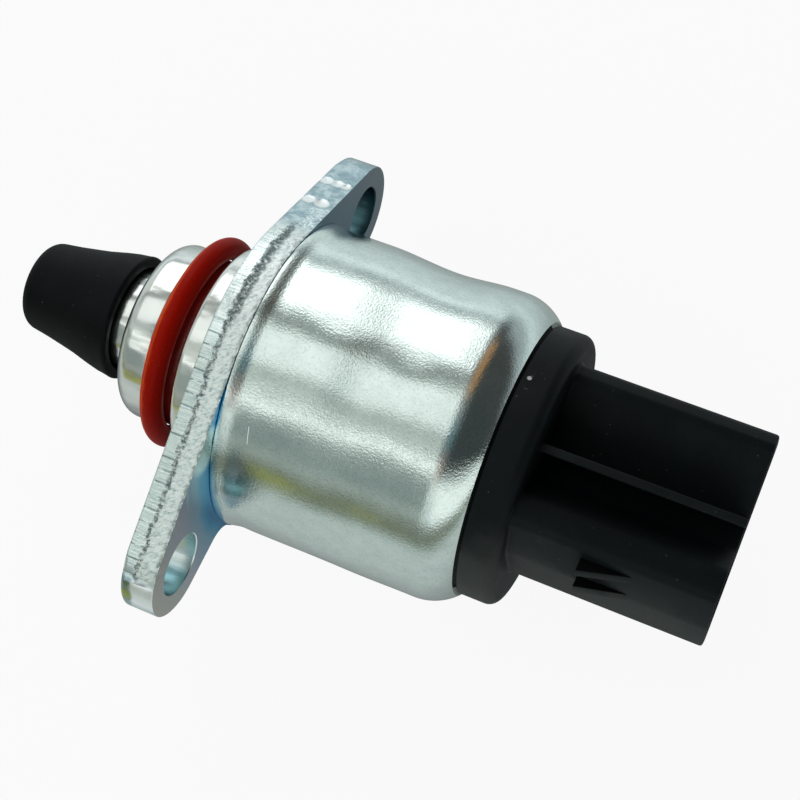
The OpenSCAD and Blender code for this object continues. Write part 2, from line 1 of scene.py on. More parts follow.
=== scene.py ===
"""Looks of an idle air control valve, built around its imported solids.

X runs along the valve from the pintle to the plug socket, Z is up, and the
origin is the middle of the two flange holes. Sizes here are in millimetres.
"""

import math

import bmesh
import bpy
from mathutils import Matrix, Vector, noise


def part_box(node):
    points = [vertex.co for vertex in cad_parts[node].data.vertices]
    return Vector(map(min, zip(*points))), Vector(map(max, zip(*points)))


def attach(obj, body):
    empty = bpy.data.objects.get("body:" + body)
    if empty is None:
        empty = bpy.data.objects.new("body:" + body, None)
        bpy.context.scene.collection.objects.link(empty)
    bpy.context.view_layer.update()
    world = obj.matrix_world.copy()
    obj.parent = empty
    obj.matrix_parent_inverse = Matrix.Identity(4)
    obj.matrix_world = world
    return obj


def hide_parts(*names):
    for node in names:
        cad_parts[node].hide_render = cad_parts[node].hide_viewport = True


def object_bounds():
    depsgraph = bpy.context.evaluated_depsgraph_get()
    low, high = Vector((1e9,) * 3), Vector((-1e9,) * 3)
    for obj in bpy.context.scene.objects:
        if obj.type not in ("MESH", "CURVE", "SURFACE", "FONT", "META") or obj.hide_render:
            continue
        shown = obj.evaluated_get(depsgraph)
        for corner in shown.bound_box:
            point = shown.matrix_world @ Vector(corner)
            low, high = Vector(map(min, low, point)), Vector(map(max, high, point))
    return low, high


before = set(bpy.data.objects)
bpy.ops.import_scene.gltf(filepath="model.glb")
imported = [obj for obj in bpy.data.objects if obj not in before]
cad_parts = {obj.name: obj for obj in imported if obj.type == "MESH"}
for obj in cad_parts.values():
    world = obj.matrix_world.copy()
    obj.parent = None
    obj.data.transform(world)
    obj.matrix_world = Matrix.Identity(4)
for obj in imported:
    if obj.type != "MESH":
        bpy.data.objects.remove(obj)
cad_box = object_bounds()
MM = 0.001
MERGE_GAP = 1e-4


def station(node, side):
    """The X at which a node begins (side 0) or ends (side 1)."""
    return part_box(node)[side].x / MM


def reach(node):
    """Radius of a round node that lies on the valve's axis."""
    low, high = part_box(node)
    return (high.y - low.y) / 2 / MM


# Stations and radii that the solids give
AXIS_Y = (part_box("rotor_magnet")[0].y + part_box("rotor_magnet")[1].y) / 2 / MM
AXIS_Z = (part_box("rotor_magnet")[0].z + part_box("rotor_magnet")[1].z) / 2 / MM
PLATE_T = station("mounting_flange", 1)
CAN_END = station("motor_can", 1)
CAN_LIP = 0.25
CAN_R = reach("motor_can") - CAN_LIP
NOSE_X = station("nose_housing", 0)
PILOT_R = reach("nose_housing")
SEAL_X = (station("nose_seal", 0) + station("nose_seal", 1)) / 2
SEAL_CORD = (station("nose_seal", 1) - station("nose_seal", 0)) / 2
SEAL_R = reach("nose_seal")
TIP_X = station("pintle", 0)
RIM_X = station("pintle", 1)
RIM_R = reach("pintle")
SOCKET_END = station("connector_cap", 1)
CAP_FRONT = station("connector_cap", 0)

# Sizes of the nose
NOSE_STEP = 2
SHOULDER_L = 3.9
TUBE_R = 5.75
TUBE_BORE = 4.9
GROOVE_FRONT = -8.2
GROOVE_REAR = -4.2
GROOVE_R = 9.65

# Sizes of the flange
HOLE_SPACING = 45
HOLE_R = 3.4
HOLE_EASE = 0.25
LOBE_R = 5.8
DISC_R = 17.5
LOWER_FILLET = 3
DIE_ROLL = 0.6

# The flange's wall is sheared from one side to the other and above a height, and
# pressed smooth elsewhere. Each pair is where a fade begins and ends
SHEAR_LOW = (-26.9, -26.3)
SHEAR_HIGH = (10.5, 13.5)
SHEAR_ABOVE = (1, 2)
ROUGHER_UPWARDS = (-4, 1)
# The lower lobe's end, where a painted highlight and painted shade fade in
LOBE_END = (-27.1, -26.4)

# Share of the plate's thickness at which burnished wall ends and torn wall begins
TEAR_SHARE = 0.42

# Middle and radius of each hammer mark on the wall
HAMMERED = [
    ((0.75, 21.3, 7.31), 0.95),
    ((2.05, 21.3, 7.31), 0.85),
    ((3.05, 21.3, 7.31), 0.75),
    ((0.75, 17.2, 9.6), 0.95),
    ((2.35, 17.2, 9.6), 1.05),
]

# Sizes of the can
CAN_WALL = 1
CRIMP_R = 5.7
CRIMP_ANGLE = 47.5
WAIST_DEPTH = 0.44
WALL_WAVE = 0.12
SWELL_X = 8.5
SWELL_PITCH = 8
SPIGOT_R = 9

# The can's front lip: distance behind the plate, and rise over the wall
LIP = [
    (0, 0.16),
    (0.03, 0.22),
    (0.1, CAN_LIP),
    (0.25, 0.24),
    (0.5, 0.21),
    (0.85, 0.14),
    (1.2, 0.06),
    (1.55, 0),
    (1.9, -0.03),
    (2.3, -0.04),
    (2.8, -0.02),
    (3.4, 0),
]

# Sizes of the connector
SHROUD_TURN = 22.3
RING_R = 15
RING_T = 4
SHROUD_L = 21
SHROUD_WALL = 1.35
SOCKET_DEPTH = 17.9
RING_REAR = SOCKET_END - SHROUD_L

# The latch ramps: distance behind the ring, and for each one how far down the
# slope it begins and how high it stands
LATCH_START = 7.5
LATCH_RAMPS = ((1.65, 1.5), (5.0, 1.35))
LATCH_L = 5.3
LATCH_W = 1.2

# Wear of the moulding, a white speck and a pitted patch on the ring; and the sides of the shroud
# between which its painted sheen turns from pale to black
SPECK = (31.14, 4.77, 12.82)
PITTED = (31, 3.9, 12.9)
PALE_SIDE = (-12, -6.5)

# The shroud's corners about its own axis, each with its rounding
SHROUD_CORNERS = [
    (11.7, -8, 3),
    (11.7, 5, 2),
    (10.3, 6.9, 1),
    (2.4, 5, 1.5),
    (-0.6, 7.2, 2),
    (-2.6, 13.3, 2),
    (-5.4, 13.4, 1.6),
    (-8.6, 8.6, 4),
    (-10.85, 1.5, 4),
    (-10.85, -8, 3),
]


def arc(x, y, radius, start, end, steps=8):
    """Points of an arc about (x, y), from one angle to the other in degrees."""
    points = []
    for i in range(steps + 1):
        angle = math.radians(start + (end - start) * i / steps)
        points.append((x + radius * math.cos(angle), y + radius * math.sin(angle)))
    return points


# Meshes


def finish_piece(bm, name, body, materials, stands_for=(), slot=None, crease=32):
    """Turns a bmesh in millimetres into a piece that rides on a body."""
    bmesh.ops.scale(bm, vec=(MM, MM, MM), verts=bm.verts)
    mesh = bpy.data.meshes.new(name)
    bm.to_mesh(mesh)
    bm.free()
    mesh.shade_smooth()
    mesh.set_sharp_from_angle(angle=math.radians(crease))
    piece = bpy.data.objects.new(name, mesh)
    bpy.context.scene.collection.objects.link(piece)
    for material in materials:
        mesh.materials.append(material)
    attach(piece, body)
    if stands_for:
        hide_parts(*stands_for)
    return piece


def spin_profile(bm, profile, closed=True, steps=180):
    """Turns a profile of (x, radius) points about the valve's axis."""
    start = [bm.verts.new((x, AXIS_Y, AXIS_Z + r)) for x, r in profile]
    edges = [bm.edges.new(pair) for pair in zip(start, start[1:])]
    if closed:
        edges.append(bm.edges.new((start[-1], start[0])))
    bmesh.ops.spin(
        bm,
        geom=start + edges,
        cent=(0, AXIS_Y, AXIS_Z),
        axis=(1, 0, 0),
        dvec=(0, 0, 0),
        angle=2 * math.pi,
        steps=steps,
        use_merge=True,
        use_duplicate=False,
    )


def tidy_shell(bm):
    """Merges doubles and turns all faces outwards."""
    bmesh.ops.remove_doubles(bm, verts=bm.verts, dist=MERGE_GAP)
    bmesh.ops.recalc_face_normals(bm, faces=bm.faces)


def turned_piece(name, profile, body, materials, closed=True, **options):
    """A piece turned from one profile."""
    bm = bmesh.new()
    spin_profile(bm, profile, closed)
    tidy_shell(bm)
    return finish_piece(bm, name, body, materials, **options)


def loop_at(bm, x, outline):
    """A closed ring of edges at one station."""
    verts = [bm.verts.new((x, y, z)) for y, z in outline]
    pairs = zip(verts, verts[1:] + verts[:1])
    return [bm.edges.new(pair) for pair in pairs]


def skin_levels(bm, levels, material=0):
    """Joins rings of equal counts, and returns the first and the last ring."""
    rings = [loop_at(bm, x, outline) for x, outline in levels]
    for near, far in zip(rings, rings[1:]):
        made = bmesh.ops.bridge_loops(bm, edges=near + far)
        for face in made["faces"]:
            face.material_index = material
    return rings[0], rings[-1]


def cover(bm, edges):
    """Fills flat rings, with holes where rings lie inside each other."""
    bmesh.ops.triangle_fill(bm, use_beauty=True, use_dissolve=False, edges=edges)


def ease_edges(bm, verts, width):
    """Rounds every edge of a block, and returns its faces and vertices."""
    eased = bmesh.ops.bevel(
        bm,
        geom=list({edge for vert in verts for edge in vert.link_edges}),
        offset=width,
        offset_type="OFFSET",
        affect="EDGES",
        segments=3,
        profile=0.5,
        material=-1,
    )
    return eased["faces"], list({vert for face in eased["faces"] for vert in face.verts})


# Shader maths


class Value:
    """What a socket gives over a surface. Sums and products add Math nodes."""

    def __init__(self, finish, socket):
        self.finish = finish
        self.socket = socket

    def math(self, operation, first, second=None):
        sockets = {0: first}
        if second is not None:
            sockets[1] = second
        return self.finish.node("ShaderNodeMath", {"operation": operation}, sockets)

    def __add__(self, other):
        return self.math("ADD", self, other)

    __radd__ = __add__

    def __sub__(self, other):
        return self.math("SUBTRACT", self, other)

    def __rsub__(self, other):
        return self.math("SUBTRACT", other, self)

    def __mul__(self, other):
        return self.math("MULTIPLY", self, other)

    __rmul__ = __mul__

    def __truediv__(self, other):
        return self.math("DIVIDE", self, other)

    def over(self, low, high):
        """0 below low, 1 above high, and a smooth rise between them."""
        settings = {"interpolation_type": "SMOOTHSTEP"}
        sockets = {"Value": self, "From Min": low, "From Max": high}
        return self.finish.node("ShaderNodeMapRange", settings, sockets)

    def root(self):
        return self.math("SQRT", self)

    def least(self, other):
        return self.math("MINIMUM", self, other)

    def most(self, other):
        return self.math("MAXIMUM", self, other)

    def size(self):
        return self.math("ABSOLUTE", self)

    def turn_from(self, level):
        """The angle, in degrees, of a direction with this height and that level."""
        return self.math("ARCTAN2", self, level) * (180 / math.pi)


class Nodes:
    """A node tree, and the few ways in which this script adds to it."""

    def __init__(self, tree):
        self.tree = tree

    def node(self, kind, settings=None, sockets=None, output=0):
        """Adds a node. Its settings are set before its sockets are filled."""
        made = self.tree.nodes.new(kind)
        for words, value in (settings or {}).items():
            if words == "stops":
                self.set_stops(made.color_ramp, value)
            else:
                setattr(made, words, value)
        for key, value in (sockets or {}).items():
            if isinstance(value, Value):
                self.tree.links.new(value.socket, made.inputs[key])
            else:
                made.inputs[key].default_value = value
        return Value(self, made.outputs[output])

    def parts(self, vector):
        """The three parts of a vector."""
        split = self.node("ShaderNodeSeparateXYZ", {}, {0: vector}).socket.node
        return [Value(self, output) for output in split.outputs]

    @staticmethod
    def set_stops(ramp, stops):
        while len(ramp.elements) < len(stops):
            ramp.elements.new(0.5)
        for element, (position, colour) in zip(ramp.elements, stops):
            element.position = position
            element.color = (*colour, 1)

    def mix(self, factor, first, second):
        """One colour where the factor is 0 and the other where it is 1."""
        sockets = {0: factor}
        for key, colour in ((6, first), (7, second)):
            sockets[key] = colour if isinstance(colour, Value) else (*colour, 1)
        return self.node("ShaderNodeMix", {"data_type": "RGBA"}, sockets, 2)

    def ramp(self, factor, stops):
        return self.node("ShaderNodeValToRGB", {"stops": stops}, {"Fac": factor}, "Color")

    def spread(self, factor, low, high, tones):
        """A ramp whose stops are given on the factor's own scale."""
        stops = [((place - low) / (high - low), colour) for place, colour in tones]
        return self.ramp((factor - low) / (high - low), stops)

    def show(self, factor, shader, glow, output):
        """Mixes two shaders, and sends what comes out to the output node."""
        sockets = {0: factor, 1: Value(self, shader.outputs[0]), 2: glow}
        shown = self.node("ShaderNodeMixShader", {}, sockets)
        self.tree.links.new(shown.socket, self.tree.nodes[output].inputs["Surface"])


class Finish(Nodes):
    """One surface finish: a Principled shader and the nodes that feed it."""

    def __init__(self, name, **constants):
        self.material = bpy.data.materials.new(name)
        self.material.use_nodes = True
        super().__init__(self.material.node_tree)
        self.shader = self.tree.nodes["Principled BSDF"]
        for words, value in constants.items():
            self.shader.inputs[words.replace("_", " ")].default_value = value
        place = self.node("ShaderNodeTexCoord", output="Object")
        self.place = self.node(
            "ShaderNodeMapping", {}, {"Vector": place, "Scale": (1 / MM, 1 / MM, 1 / MM)}
        )
        self.x, self.y, self.z = self.parts(self.place)

    def stretched(self, scale):
        """The surface's place with each direction scaled by itself."""
        return self.node("ShaderNodeMapping", {}, {"Vector": self.place, "Scale": scale})

    def noise(self, scale, detail=2.0, rough=0.5, stretch=(1, 1, 1), place=None):
        sockets = {
            "Vector": place or self.stretched(stretch),
            "Scale": scale,
            "Detail": detail,
            "Roughness": rough,
        }
        return self.node("ShaderNodeTexNoise", {}, sockets, "Fac")

    def along(self):
        """Distance round the flange's outline, in millimetres."""
        return self.node("ShaderNodeAttribute", {"attribute_name": "along"}, {}, "Fac")

    def wall_noise(self, along, lengthwise, across, detail, rough):
        """Noise on the flange's wall, along its outline and through the plate."""
        place = {"X": along * lengthwise, "Y": self.x * across}
        place = self.node("ShaderNodeCombineXYZ", {}, place)
        return self.noise(1, detail, rough, place=place)

    def cells(self, scale):
        """Distance from the nearest of many scattered points."""
        sockets = {"Vector": self.place, "Scale": scale}
        return self.node("ShaderNodeTexVoronoi", {}, sockets, "Distance")

    def radius(self):
        """Distance from the valve's axis."""
        side = self.y - AXIS_Y
        up = self.z - AXIS_Z
        return (side * side + up * up).root()

    def angle(self):
        """The angle about the valve's axis, from +Y towards +Z, in degrees."""
        return (self.z - AXIS_Z).turn_from(self.y - AXIS_Y)

    def spot(self, middle, radius):
        """1 close to a point, and 0 beyond the radius."""
        sockets = {0: self.place, 1: middle}
        away = self.node("ShaderNodeVectorMath", {"operation": "DISTANCE"}, sockets, "Value")
        return 1 - away.over(radius * 0.55, radius)

    def streak(self, start, end, width):
        """1 on a short line between two points given about the axis."""
        start = Vector(start)
        run = Vector(end) - start
        dx = self.x - start.x
        dy = self.y - (AXIS_Y + start.y)
        dz = self.z - (AXIS_Z + start.z)
        share = (dx * run.x + dy * run.y + dz * run.z) / run.length_squared
        share = share.most(0.0).least(1.0)
        dx = dx - share * run.x
        dy = dy - share * run.y
        dz = dz - share * run.z
        off = (dx * dx + dy * dy + dz * dz).root()
        return 1 - off.over(width * 0.4, width)

    def bump(self, height, depth, strength=1.0, under=None):
        """Relief whose full height is depth, in millimetres."""
        sockets = {"Strength": strength, "Distance": depth * MM, "Height": height}
        if under is not None:
            sockets["Normal"] = under
        return self.node("ShaderNodeBump", {}, sockets, "Normal")

    def set(self, **links):
        for words, value in links.items():
            self.tree.links.new(value.socket, self.shader.inputs[words.replace("_", " ")])
        return self.material


# Finishes


def drawn_can():
    """Bright plated sheet, deep drawn: a satin mirror with a fine leathery grain.

    Its upper near side has two shallow swells, and there is one short scratch.
    """
    f = Finish("drawn_can", Metallic=1.0)
    sway = f.noise(0.13, 1, 0.4, (0.35, 1, 1))
    grain = f.noise(4.6, 2, 0.6)
    fine = f.noise(10, 2, 0.6)
    patches = f.noise(0.22, 2, 0.5).over(0.35, 0.65)
    grey = f.noise(0.6, 4, 0.62)
    tint = f.mix(grey.over(0.35, 0.65), (0.70, 0.79, 0.76), (0.64, 0.73, 0.70))
    flecks = f.noise(3.2, 4, 0.75).over(0.36, 0.5)
    tint = f.mix((1 - flecks) * 0.35, tint, (0.42, 0.50, 0.48))
    rough = 0.10 + patches * 0.05 + grain * 0.03
    angle = f.angle()
    phase = (f.x - SWELL_X) * (2 * math.pi / SWELL_PITCH)
    swell = f.node("ShaderNodeMath", {"operation": "COSINE"}, {0: phase})
    ends = f.x.over(5, 8) * (1 - f.x.over(22, 26))
    ridge = angle.over(88, 100) - angle.over(102, 130)
    relief = f.bump((1 - swell) * 0.5 * ends * ridge, 0.10, 1.0)
    relief = f.bump(sway, 0.33, 1.0, relief)
    relief = f.bump(grain, 0.02, 0.9, relief)
    relief = f.bump(fine, 0.005, 0.7, relief)
    scratch = f.streak((7.1, -11.6, 12.6), (7.3, -12.9, 11.2), 0.08)
    tint = f.mix(scratch * 0.8, tint, (0.95, 0.96, 0.94))
    relief = f.bump(scratch, 0.05, 0.8, relief)
    return f.set(Base_Color=tint, Roughness=rough, Normal=relief)


def plated_face():
    """Passivated faces of the flange: blue by the can, lilac and brown outwards. A painted
    highlight lies on one spot near the can, and painted shade darkens the faces towards the upper
    lobe.
    """
    f = Finish("plated_face", Metallic=1.0)
    wander = f.noise(0.2, 3, 0.5)
    far = f.radius() + (wander - 0.5) * 3
    shade = f.ramp(
        far.over(16.8, 30),
        [
            (0.0, (0.01, 0.24, 0.52)),
            (0.06, (0.05, 0.38, 0.64)),
            (0.14, (0.24, 0.46, 0.60)),
            (0.3, (0.32, 0.44, 0.56)),
            (0.5, (0.42, 0.44, 0.52)),
            (0.72, (0.40, 0.44, 0.46)),
            (1.0, (0.40, 0.39, 0.36)),
        ],
    )
    # Painted highlight: a pale blue-white spot on the face near the can
    painted_glare = f.spot((PLATE_T, -13.3, 9.3), 3.2)
    shade = f.mix(painted_glare * 0.9, shade, (0.72, 0.95, 1.0))
    # Painted shade: towards the upper lobe (+Y) the faces are painted darker
    darker = f.mix(wander, (0.05, 0.11, 0.17), (0.11, 0.17, 0.20))
    shade = f.mix(f.y.over(2, 9) * 0.9, shade, darker)
    grain = f.noise(4, 3, 0.6)
    rough = 0.2 + grain * 0.1
    relief = f.bump(wander, 0.1, 0.5)
    relief = f.bump(grain, 0.012, 0.5, relief)
    return f.set(Base_Color=shade, Roughness=rough, Normal=relief)


def pressed_wall(f, cloud, lobe_end):
    """Colour of the pressed wall, where its hammer marks are, and where it has a painted
    highlight. Glints, the hammer marks' whiteness and the lower lobe end's bright rear and dark
    front are painted light and shade.
    """
    shade = f.mix(cloud.over(0.35, 0.65), (0.30, 0.42, 0.47), (0.56, 0.68, 0.71))
    # Painted glints: near-white specks on the rear of the wall below the upper lobe
    painted_sparkle = f.noise(2.5, 4, 0.75).over(0.45, 0.62) * f.x.over(1.4, 2.2) * f.y.over(9, 10)
    shade = f.mix(painted_sparkle * (1 - f.y.over(14, 19)) * 0.8, shade, (0.9, 1.0, 0.99))
    # The hammer marks are real dents; their near-white colour is a painted highlight
    hammer_dents_and_highlight = f.spot(*HAMMERED[0])
    for place, radius in HAMMERED[1:]:
        hammer_dents_and_highlight = hammer_dents_and_highlight.most(f.spot(place, radius))
    shade = f.mix(hammer_dents_and_highlight * 0.9, shade, (0.98, 1.0, 1.0))
    # Painted highlight over the rear of the lower lobe's end, and painted shade on its rolled
    # front
    depth = f.x + (cloud - 0.5)
    bright = lobe_end * depth.over(1.0, 1.5) * f.z.over(-0.4, 1.2)
    shade = f.mix(bright, shade, (0.95, 1.0, 1.0))
    front = lobe_end * (1 - depth.over(0.9, 1.4))
    shade = f.mix(front * 0.8, shade, (0.22, 0.30, 0.30))
    brassy = f.spot((0.7, -27.9, 2.0), 1.0)
    shade = f.mix(brassy * 0.7, shade, (0.34, 0.38, 0.03))
    return shade, hammer_dents_and_highlight, bright


def sheared_edge():
    """Wall of the flange: burnished blocks in front, torn behind with painted glints, and painted
    shade in and beside the tear's crack and along the rear corner.
    """
    f = Finish("sheared_edge", Metallic=1.0)
    along = f.along()
    sheared = f.y.over(*SHEAR_LOW) * (1 - f.y.over(*SHEAR_HIGH)) * f.z.over(*SHEAR_ABOVE)
    jag = f.wall_noise(along, 1.1, 0.5, 4, 0.7)
    wide = f.wall_noise(along, 0.22, 0.1, 2, 0.5)
    rim = PLATE_T * TEAR_SHARE + (jag - 0.5) * 1.3 + (wide - 0.5) * 0.5
    torn = (f.x - rim).over(-0.05, 0.12)
    disc = f.y.over(*ROUGHER_UPWARDS)
    blocks_per_mm = 0.75
    blocks = f.node(
        "ShaderNodeTexVoronoi",
        {"voronoi_dimensions": "1D", "feature": "DISTANCE_TO_EDGE"},
        {"W": along, "Scale": blocks_per_mm, "Randomness": 0.45},
        "Distance",
    )
    faint = f.wall_noise(along, 0.8, 0.7, 2, 0.6).over(0.35, 0.6)
    seam = (1 - (blocks / blocks_per_mm).over(0.02, 0.16)) * faint * (1 - disc * 0.8)
    streaks = f.wall_noise(along, 4.0, 0.3, 3, 0.65)
    slanted = f.node("ShaderNodeCombineXYZ", {}, {"X": (along + f.x * 0.6) * 2.6, "Y": f.x * 1.5})
    bristle = f.noise(1, 4, 0.75, place=slanted)
    specks = f.wall_noise(along, 2.2, 1.8, 4, 0.75)
    crumbs = f.wall_noise(along, 1.3, 1.3, 5, 0.75)
    near_rim = 1 - (f.x - rim - 0.1).size().over(0.05, 0.4)
    crack = near_rim * specks.over(0.47, 0.6)
    band = (1 - (f.x - rim - 0.3).size().over(0.15, 0.65)) * disc * specks.over(0.4, 0.55)
    rear = f.x.over(PLATE_T - 0.45, PLATE_T - 0.1) * crumbs.over(0.45, 0.6)
    # The near-white flecks on the crumbs and on the torn wall are painted glints
    glint_white = (0.93, 1.0, 0.98)
    shade = f.mix(streaks.over(0.3, 0.7), (0.58, 0.70, 0.69), (0.84, 0.92, 0.90))
    shade = f.mix(seam * (1 - torn) * 0.8, shade, (0.26, 0.35, 0.35))
    shade = f.mix(disc * crumbs.over(0.42, 0.62), shade, glint_white)
    shade = f.mix(torn * bristle.over(0.38, 0.58), shade, glint_white)
    shade = f.mix(torn * (1 - bristle.over(0.34, 0.5)) * 0.55, shade, (0.34, 0.46, 0.47))
    # Painted shade: the crack along the tear, a band beside it and the jagged rear corner are
    # painted dark
    dark = (crack + band + rear * 0.6).least(1.0)
    shade = f.mix(dark * 0.85, shade, (0.07, 0.12, 0.13))
    cloud = f.noise(0.8, 4, 0.65)
    lobe_end = 1 - f.y.over(*LOBE_END)
    pressed, hammer_dents_and_highlight, bright = pressed_wall(f, cloud, lobe_end)
    shade = f.mix(1 - sheared, shade, pressed)
    rough = 0.2 + torn * sheared * 0.14 + streaks * 0.08 + bright * 0.12 + hammer_dents_and_highlight * 0.1
    ridges = streaks * 0.3 + bristle * torn - seam * (1 - torn) * 0.5 + crumbs * disc * 0.8
    relief = f.bump(ridges * sheared, 0.11, 0.9)
    relief = f.bump((1 - dark) * sheared, 0.1, 0.8, relief)
    relief = f.bump(cloud * (1 - sheared), 0.08, 0.8, relief)
    relief = f.bump((1 - f.x.over(0.9, 4.4)) * lobe_end, 0.8, 1.0, relief)
    return f.set(Base_Color=shade, Roughness=rough, Normal=relief)


def drilled_wall():
    """Wall of the screw holes, plated and a little streaked, with painted shade in the upper hole
    and a painted highlight in the lower one.
    """
    f = Finish("drilled_wall", Metallic=1.0)
    streaks = f.noise(1.2, 3, 0.6, (0.25, 2, 2))
    cloud = f.noise(0.5, 2, 0.5)
    shade = f.mix(cloud, (0.16, 0.34, 0.38), (0.28, 0.46, 0.50))
    # Painted shade: the wall is painted dark where Y is above about 0 to 5 mm, which takes in the
    # upper hole
    shade = f.mix(f.y.over(0, 5), shade, (0.06, 0.13, 0.15))
    # Painted highlight: near-white on the lower hole's wall, on its side towards the middle
    bright = (f.y + HOLE_SPACING / 2).over(-0.3, 1.6) * (1 - f.y.over(0, 5))
    shade = f.mix(bright * 0.9, shade, (0.92, 1.0, 0.98))
    relief = f.bump(streaks, 0.05, 0.7)
    return f.set(Base_Color=shade, Roughness=0.24 + streaks * 0.12, Normal=relief)


def turned_nose():
    """Nose turned and polished bright, with faint rings and a soft ripple."""
    f = Finish("turned_nose", Metallic=1.0)
    ripple = f.noise(0.3, 2, 0.5, (0.5, 1, 1))
    rings = f.noise(6, 2, 0.5, (1, 0.05, 0.05))
    grain = f.noise(4, 3, 0.6)
    tint = f.mix(ripple.over(0.3, 0.7), (0.80, 0.83, 0.79), (0.70, 0.73, 0.71))
    rough = 0.13 + grain * 0.07 + rings * 0.04
    relief = f.bump(ripple, 0.3, 0.8)
    relief = f.bump(rings, 0.008, 0.4, relief)
    relief = f.bump(grain, 0.01, 0.5, relief)
    return f.set(Base_Color=tint, Roughness=rough, Normal=relief)


def orange_rubber():
    """Smooth orange-red rubber with its mould's parting line. Its front is painted lit and its
    rear shaded, and the line carries a painted highlight.
    """
    f = Finish("orange_rubber", Metallic=0.0, Specular_IOR_Level=0.06)
    blotch = f.noise(0.6, 3, 0.6)
    lint = f.noise(5, 2, 0.6).over(0.64, 0.72)
    # Painted light and shade: the front of the ring is painted as lit, its rear as shaded
    front = 1 - (f.x - SEAL_X + (blotch - 0.5)).over(-1.1, 0.1)
    shade = f.mix(front, (0.42, 0.006, 0.0), (0.90, 0.072, 0.002))
    shade = f.mix(lint * 0.1, shade, (0.75, 0.30, 0.16))
    # The parting line is real; its paler colour is a painted highlight
    line = 1 - (f.x - SEAL_X + 0.35).size().over(0.02, 0.13)
    outside = f.radius().over(SEAL_R - 0.4, SEAL_R - 0.1)
    shade = f.mix(line * outside * 0.5, shade, (0.80, 0.16, 0.04))
    rough = 0.34 + blotch * 0.12
    relief = f.bump(line * outside, 0.06, 0.7)
    relief = f.bump(blotch, 0.02, 0.4, relief)
    return f.set(Base_Color=shade, Roughness=rough, Normal=relief)


def moulded_black(name, base, painted_sheen_share, rough_base):
    """Black moulded plastic: satin skin, fine dust, paler rubbed patches, and a painted sheen
    that makes one side paler.
    """
    f = Finish(name, Metallic=0.0, Specular_IOR_Level=0.11)
    skin = f.noise(3.2, 4, 0.7)
    fine = f.noise(12, 2, 0.6)
    rubbed = f.noise(0.16, 3, 0.6).over(0.45, 0.7)
    dust = 1 - f.cells(0.9).over(0.05, 0.08)
    sparse = f.noise(0.3, 2, 0.5).over(0.48, 0.58)
    turn = math.radians(SHROUD_TURN)
    side = (f.y - AXIS_Y) * math.cos(turn) + (f.z - AXIS_Z) * math.sin(turn)
    shade = f.mix(rubbed * 0.7, base, tuple(level * 1.6 for level in base))
    # Painted sheen: the shroud's side towards -Y is painted paler, as if lit
    pale = (1 - (side + (rubbed - 0.5) * 2).over(*PALE_SIDE)) * painted_sheen_share
    shade = f.mix(pale, shade, (0.044, 0.049, 0.048))
    shade = f.mix(skin.over(0.60, 0.72) * 0.5, shade, (0.016, 0.018, 0.019))
    shade = f.mix(dust * sparse * 0.3, shade, (0.20, 0.21, 0.21))
    pits = f.spot(PITTED, 2.6) * (1 - f.cells(1.7).over(0.1, 0.2))
    shade = f.mix(pits * 0.35, shade, (0.28, 0.29, 0.29))
    shade = f.mix(f.spot(SPECK, 0.3), shade, (0.6, 0.62, 0.62))
    rough = rough_base + skin * 0.16 - rubbed * 0.05
    relief = f.bump(skin, 0.02, 0.7)
    relief = f.bump(fine, 0.005, 0.6, relief)
    return f.set(Base_Color=shade, Roughness=rough, Normal=relief)


def matt_shade_black():
    """Matt faces on the sides of the latch ramps, painted blacker than the cap as shade."""
    f = Finish("matt_shade_black", Metallic=0.0, Specular_IOR_Level=0.05)
    skin = f.noise(5, 3, 0.7)
    shade = f.mix(skin, (0.0015, 0.0016, 0.0018), (0.003, 0.003, 0.0035))
    return f.set(Base_Color=shade, Roughness=0.7 + skin * 0.2, Normal=f.bump(skin, 0.02, 0.6))


def plain_metal(name, tint, rough_base, streak=(1, 1, 1)):
    """Machined or stamped metal of the inner pieces."""
    f = Finish(name, Metallic=1.0)
    marks = f.noise(3, 3, 0.6, streak)
    worn = f.noise(0.5, 3, 0.6)
    darker = tuple(c * 0.8 for c in tint)
    shade = f.mix(worn.over(0.35, 0.65), tint, darker)
    relief = f.bump(marks, 0.012, 0.5)
    return f.set(Base_Color=shade, Roughness=rough_base + marks * 0.15, Normal=relief)


def plain_moulding(name, tint, rough_base):
    """Natural plastic, ferrite or rubber of the inner pieces."""
    f = Finish(name, Metallic=0.0)
    skin = f.noise(3, 3, 0.6)
    cloud = f.noise(0.5, 3, 0.6)
    darker = tuple(c * 0.85 for c in tint)
    shade = f.mix(cloud.over(0.3, 0.7), tint, darker)
    relief = f.bump(skin, 0.015, 0.5)
    return f.set(Base_Color=shade, Roughness=rough_base + skin * 0.12, Normal=relief)


def wound_copper():
    """Enamelled wire, wound in rows around the axis."""
    f = Finish("wound_copper", Metallic=1.0)
    pitch = 0.22
    rows = f.node("ShaderNodeMath", {"operation": "PINGPONG"}, {0: f.x, 1: pitch / 2})
    wire = (rows / (pitch / 2)).root()
    drift = f.noise(0.6, 3, 0.6)
    shade = f.mix(drift, (0.55, 0.20, 0.07), (0.68, 0.28, 0.11))
    # Painted shade in the grooves between the rows of wire
    shade = f.mix((1 - wire) * 0.7, shade, (0.10, 0.03, 0.01))
    relief = f.bump(wire, 0.08, 0.8)
    return f.set(Base_Color=shade, Roughness=0.24 + drift * 0.1, Normal=relief)


# Outlines


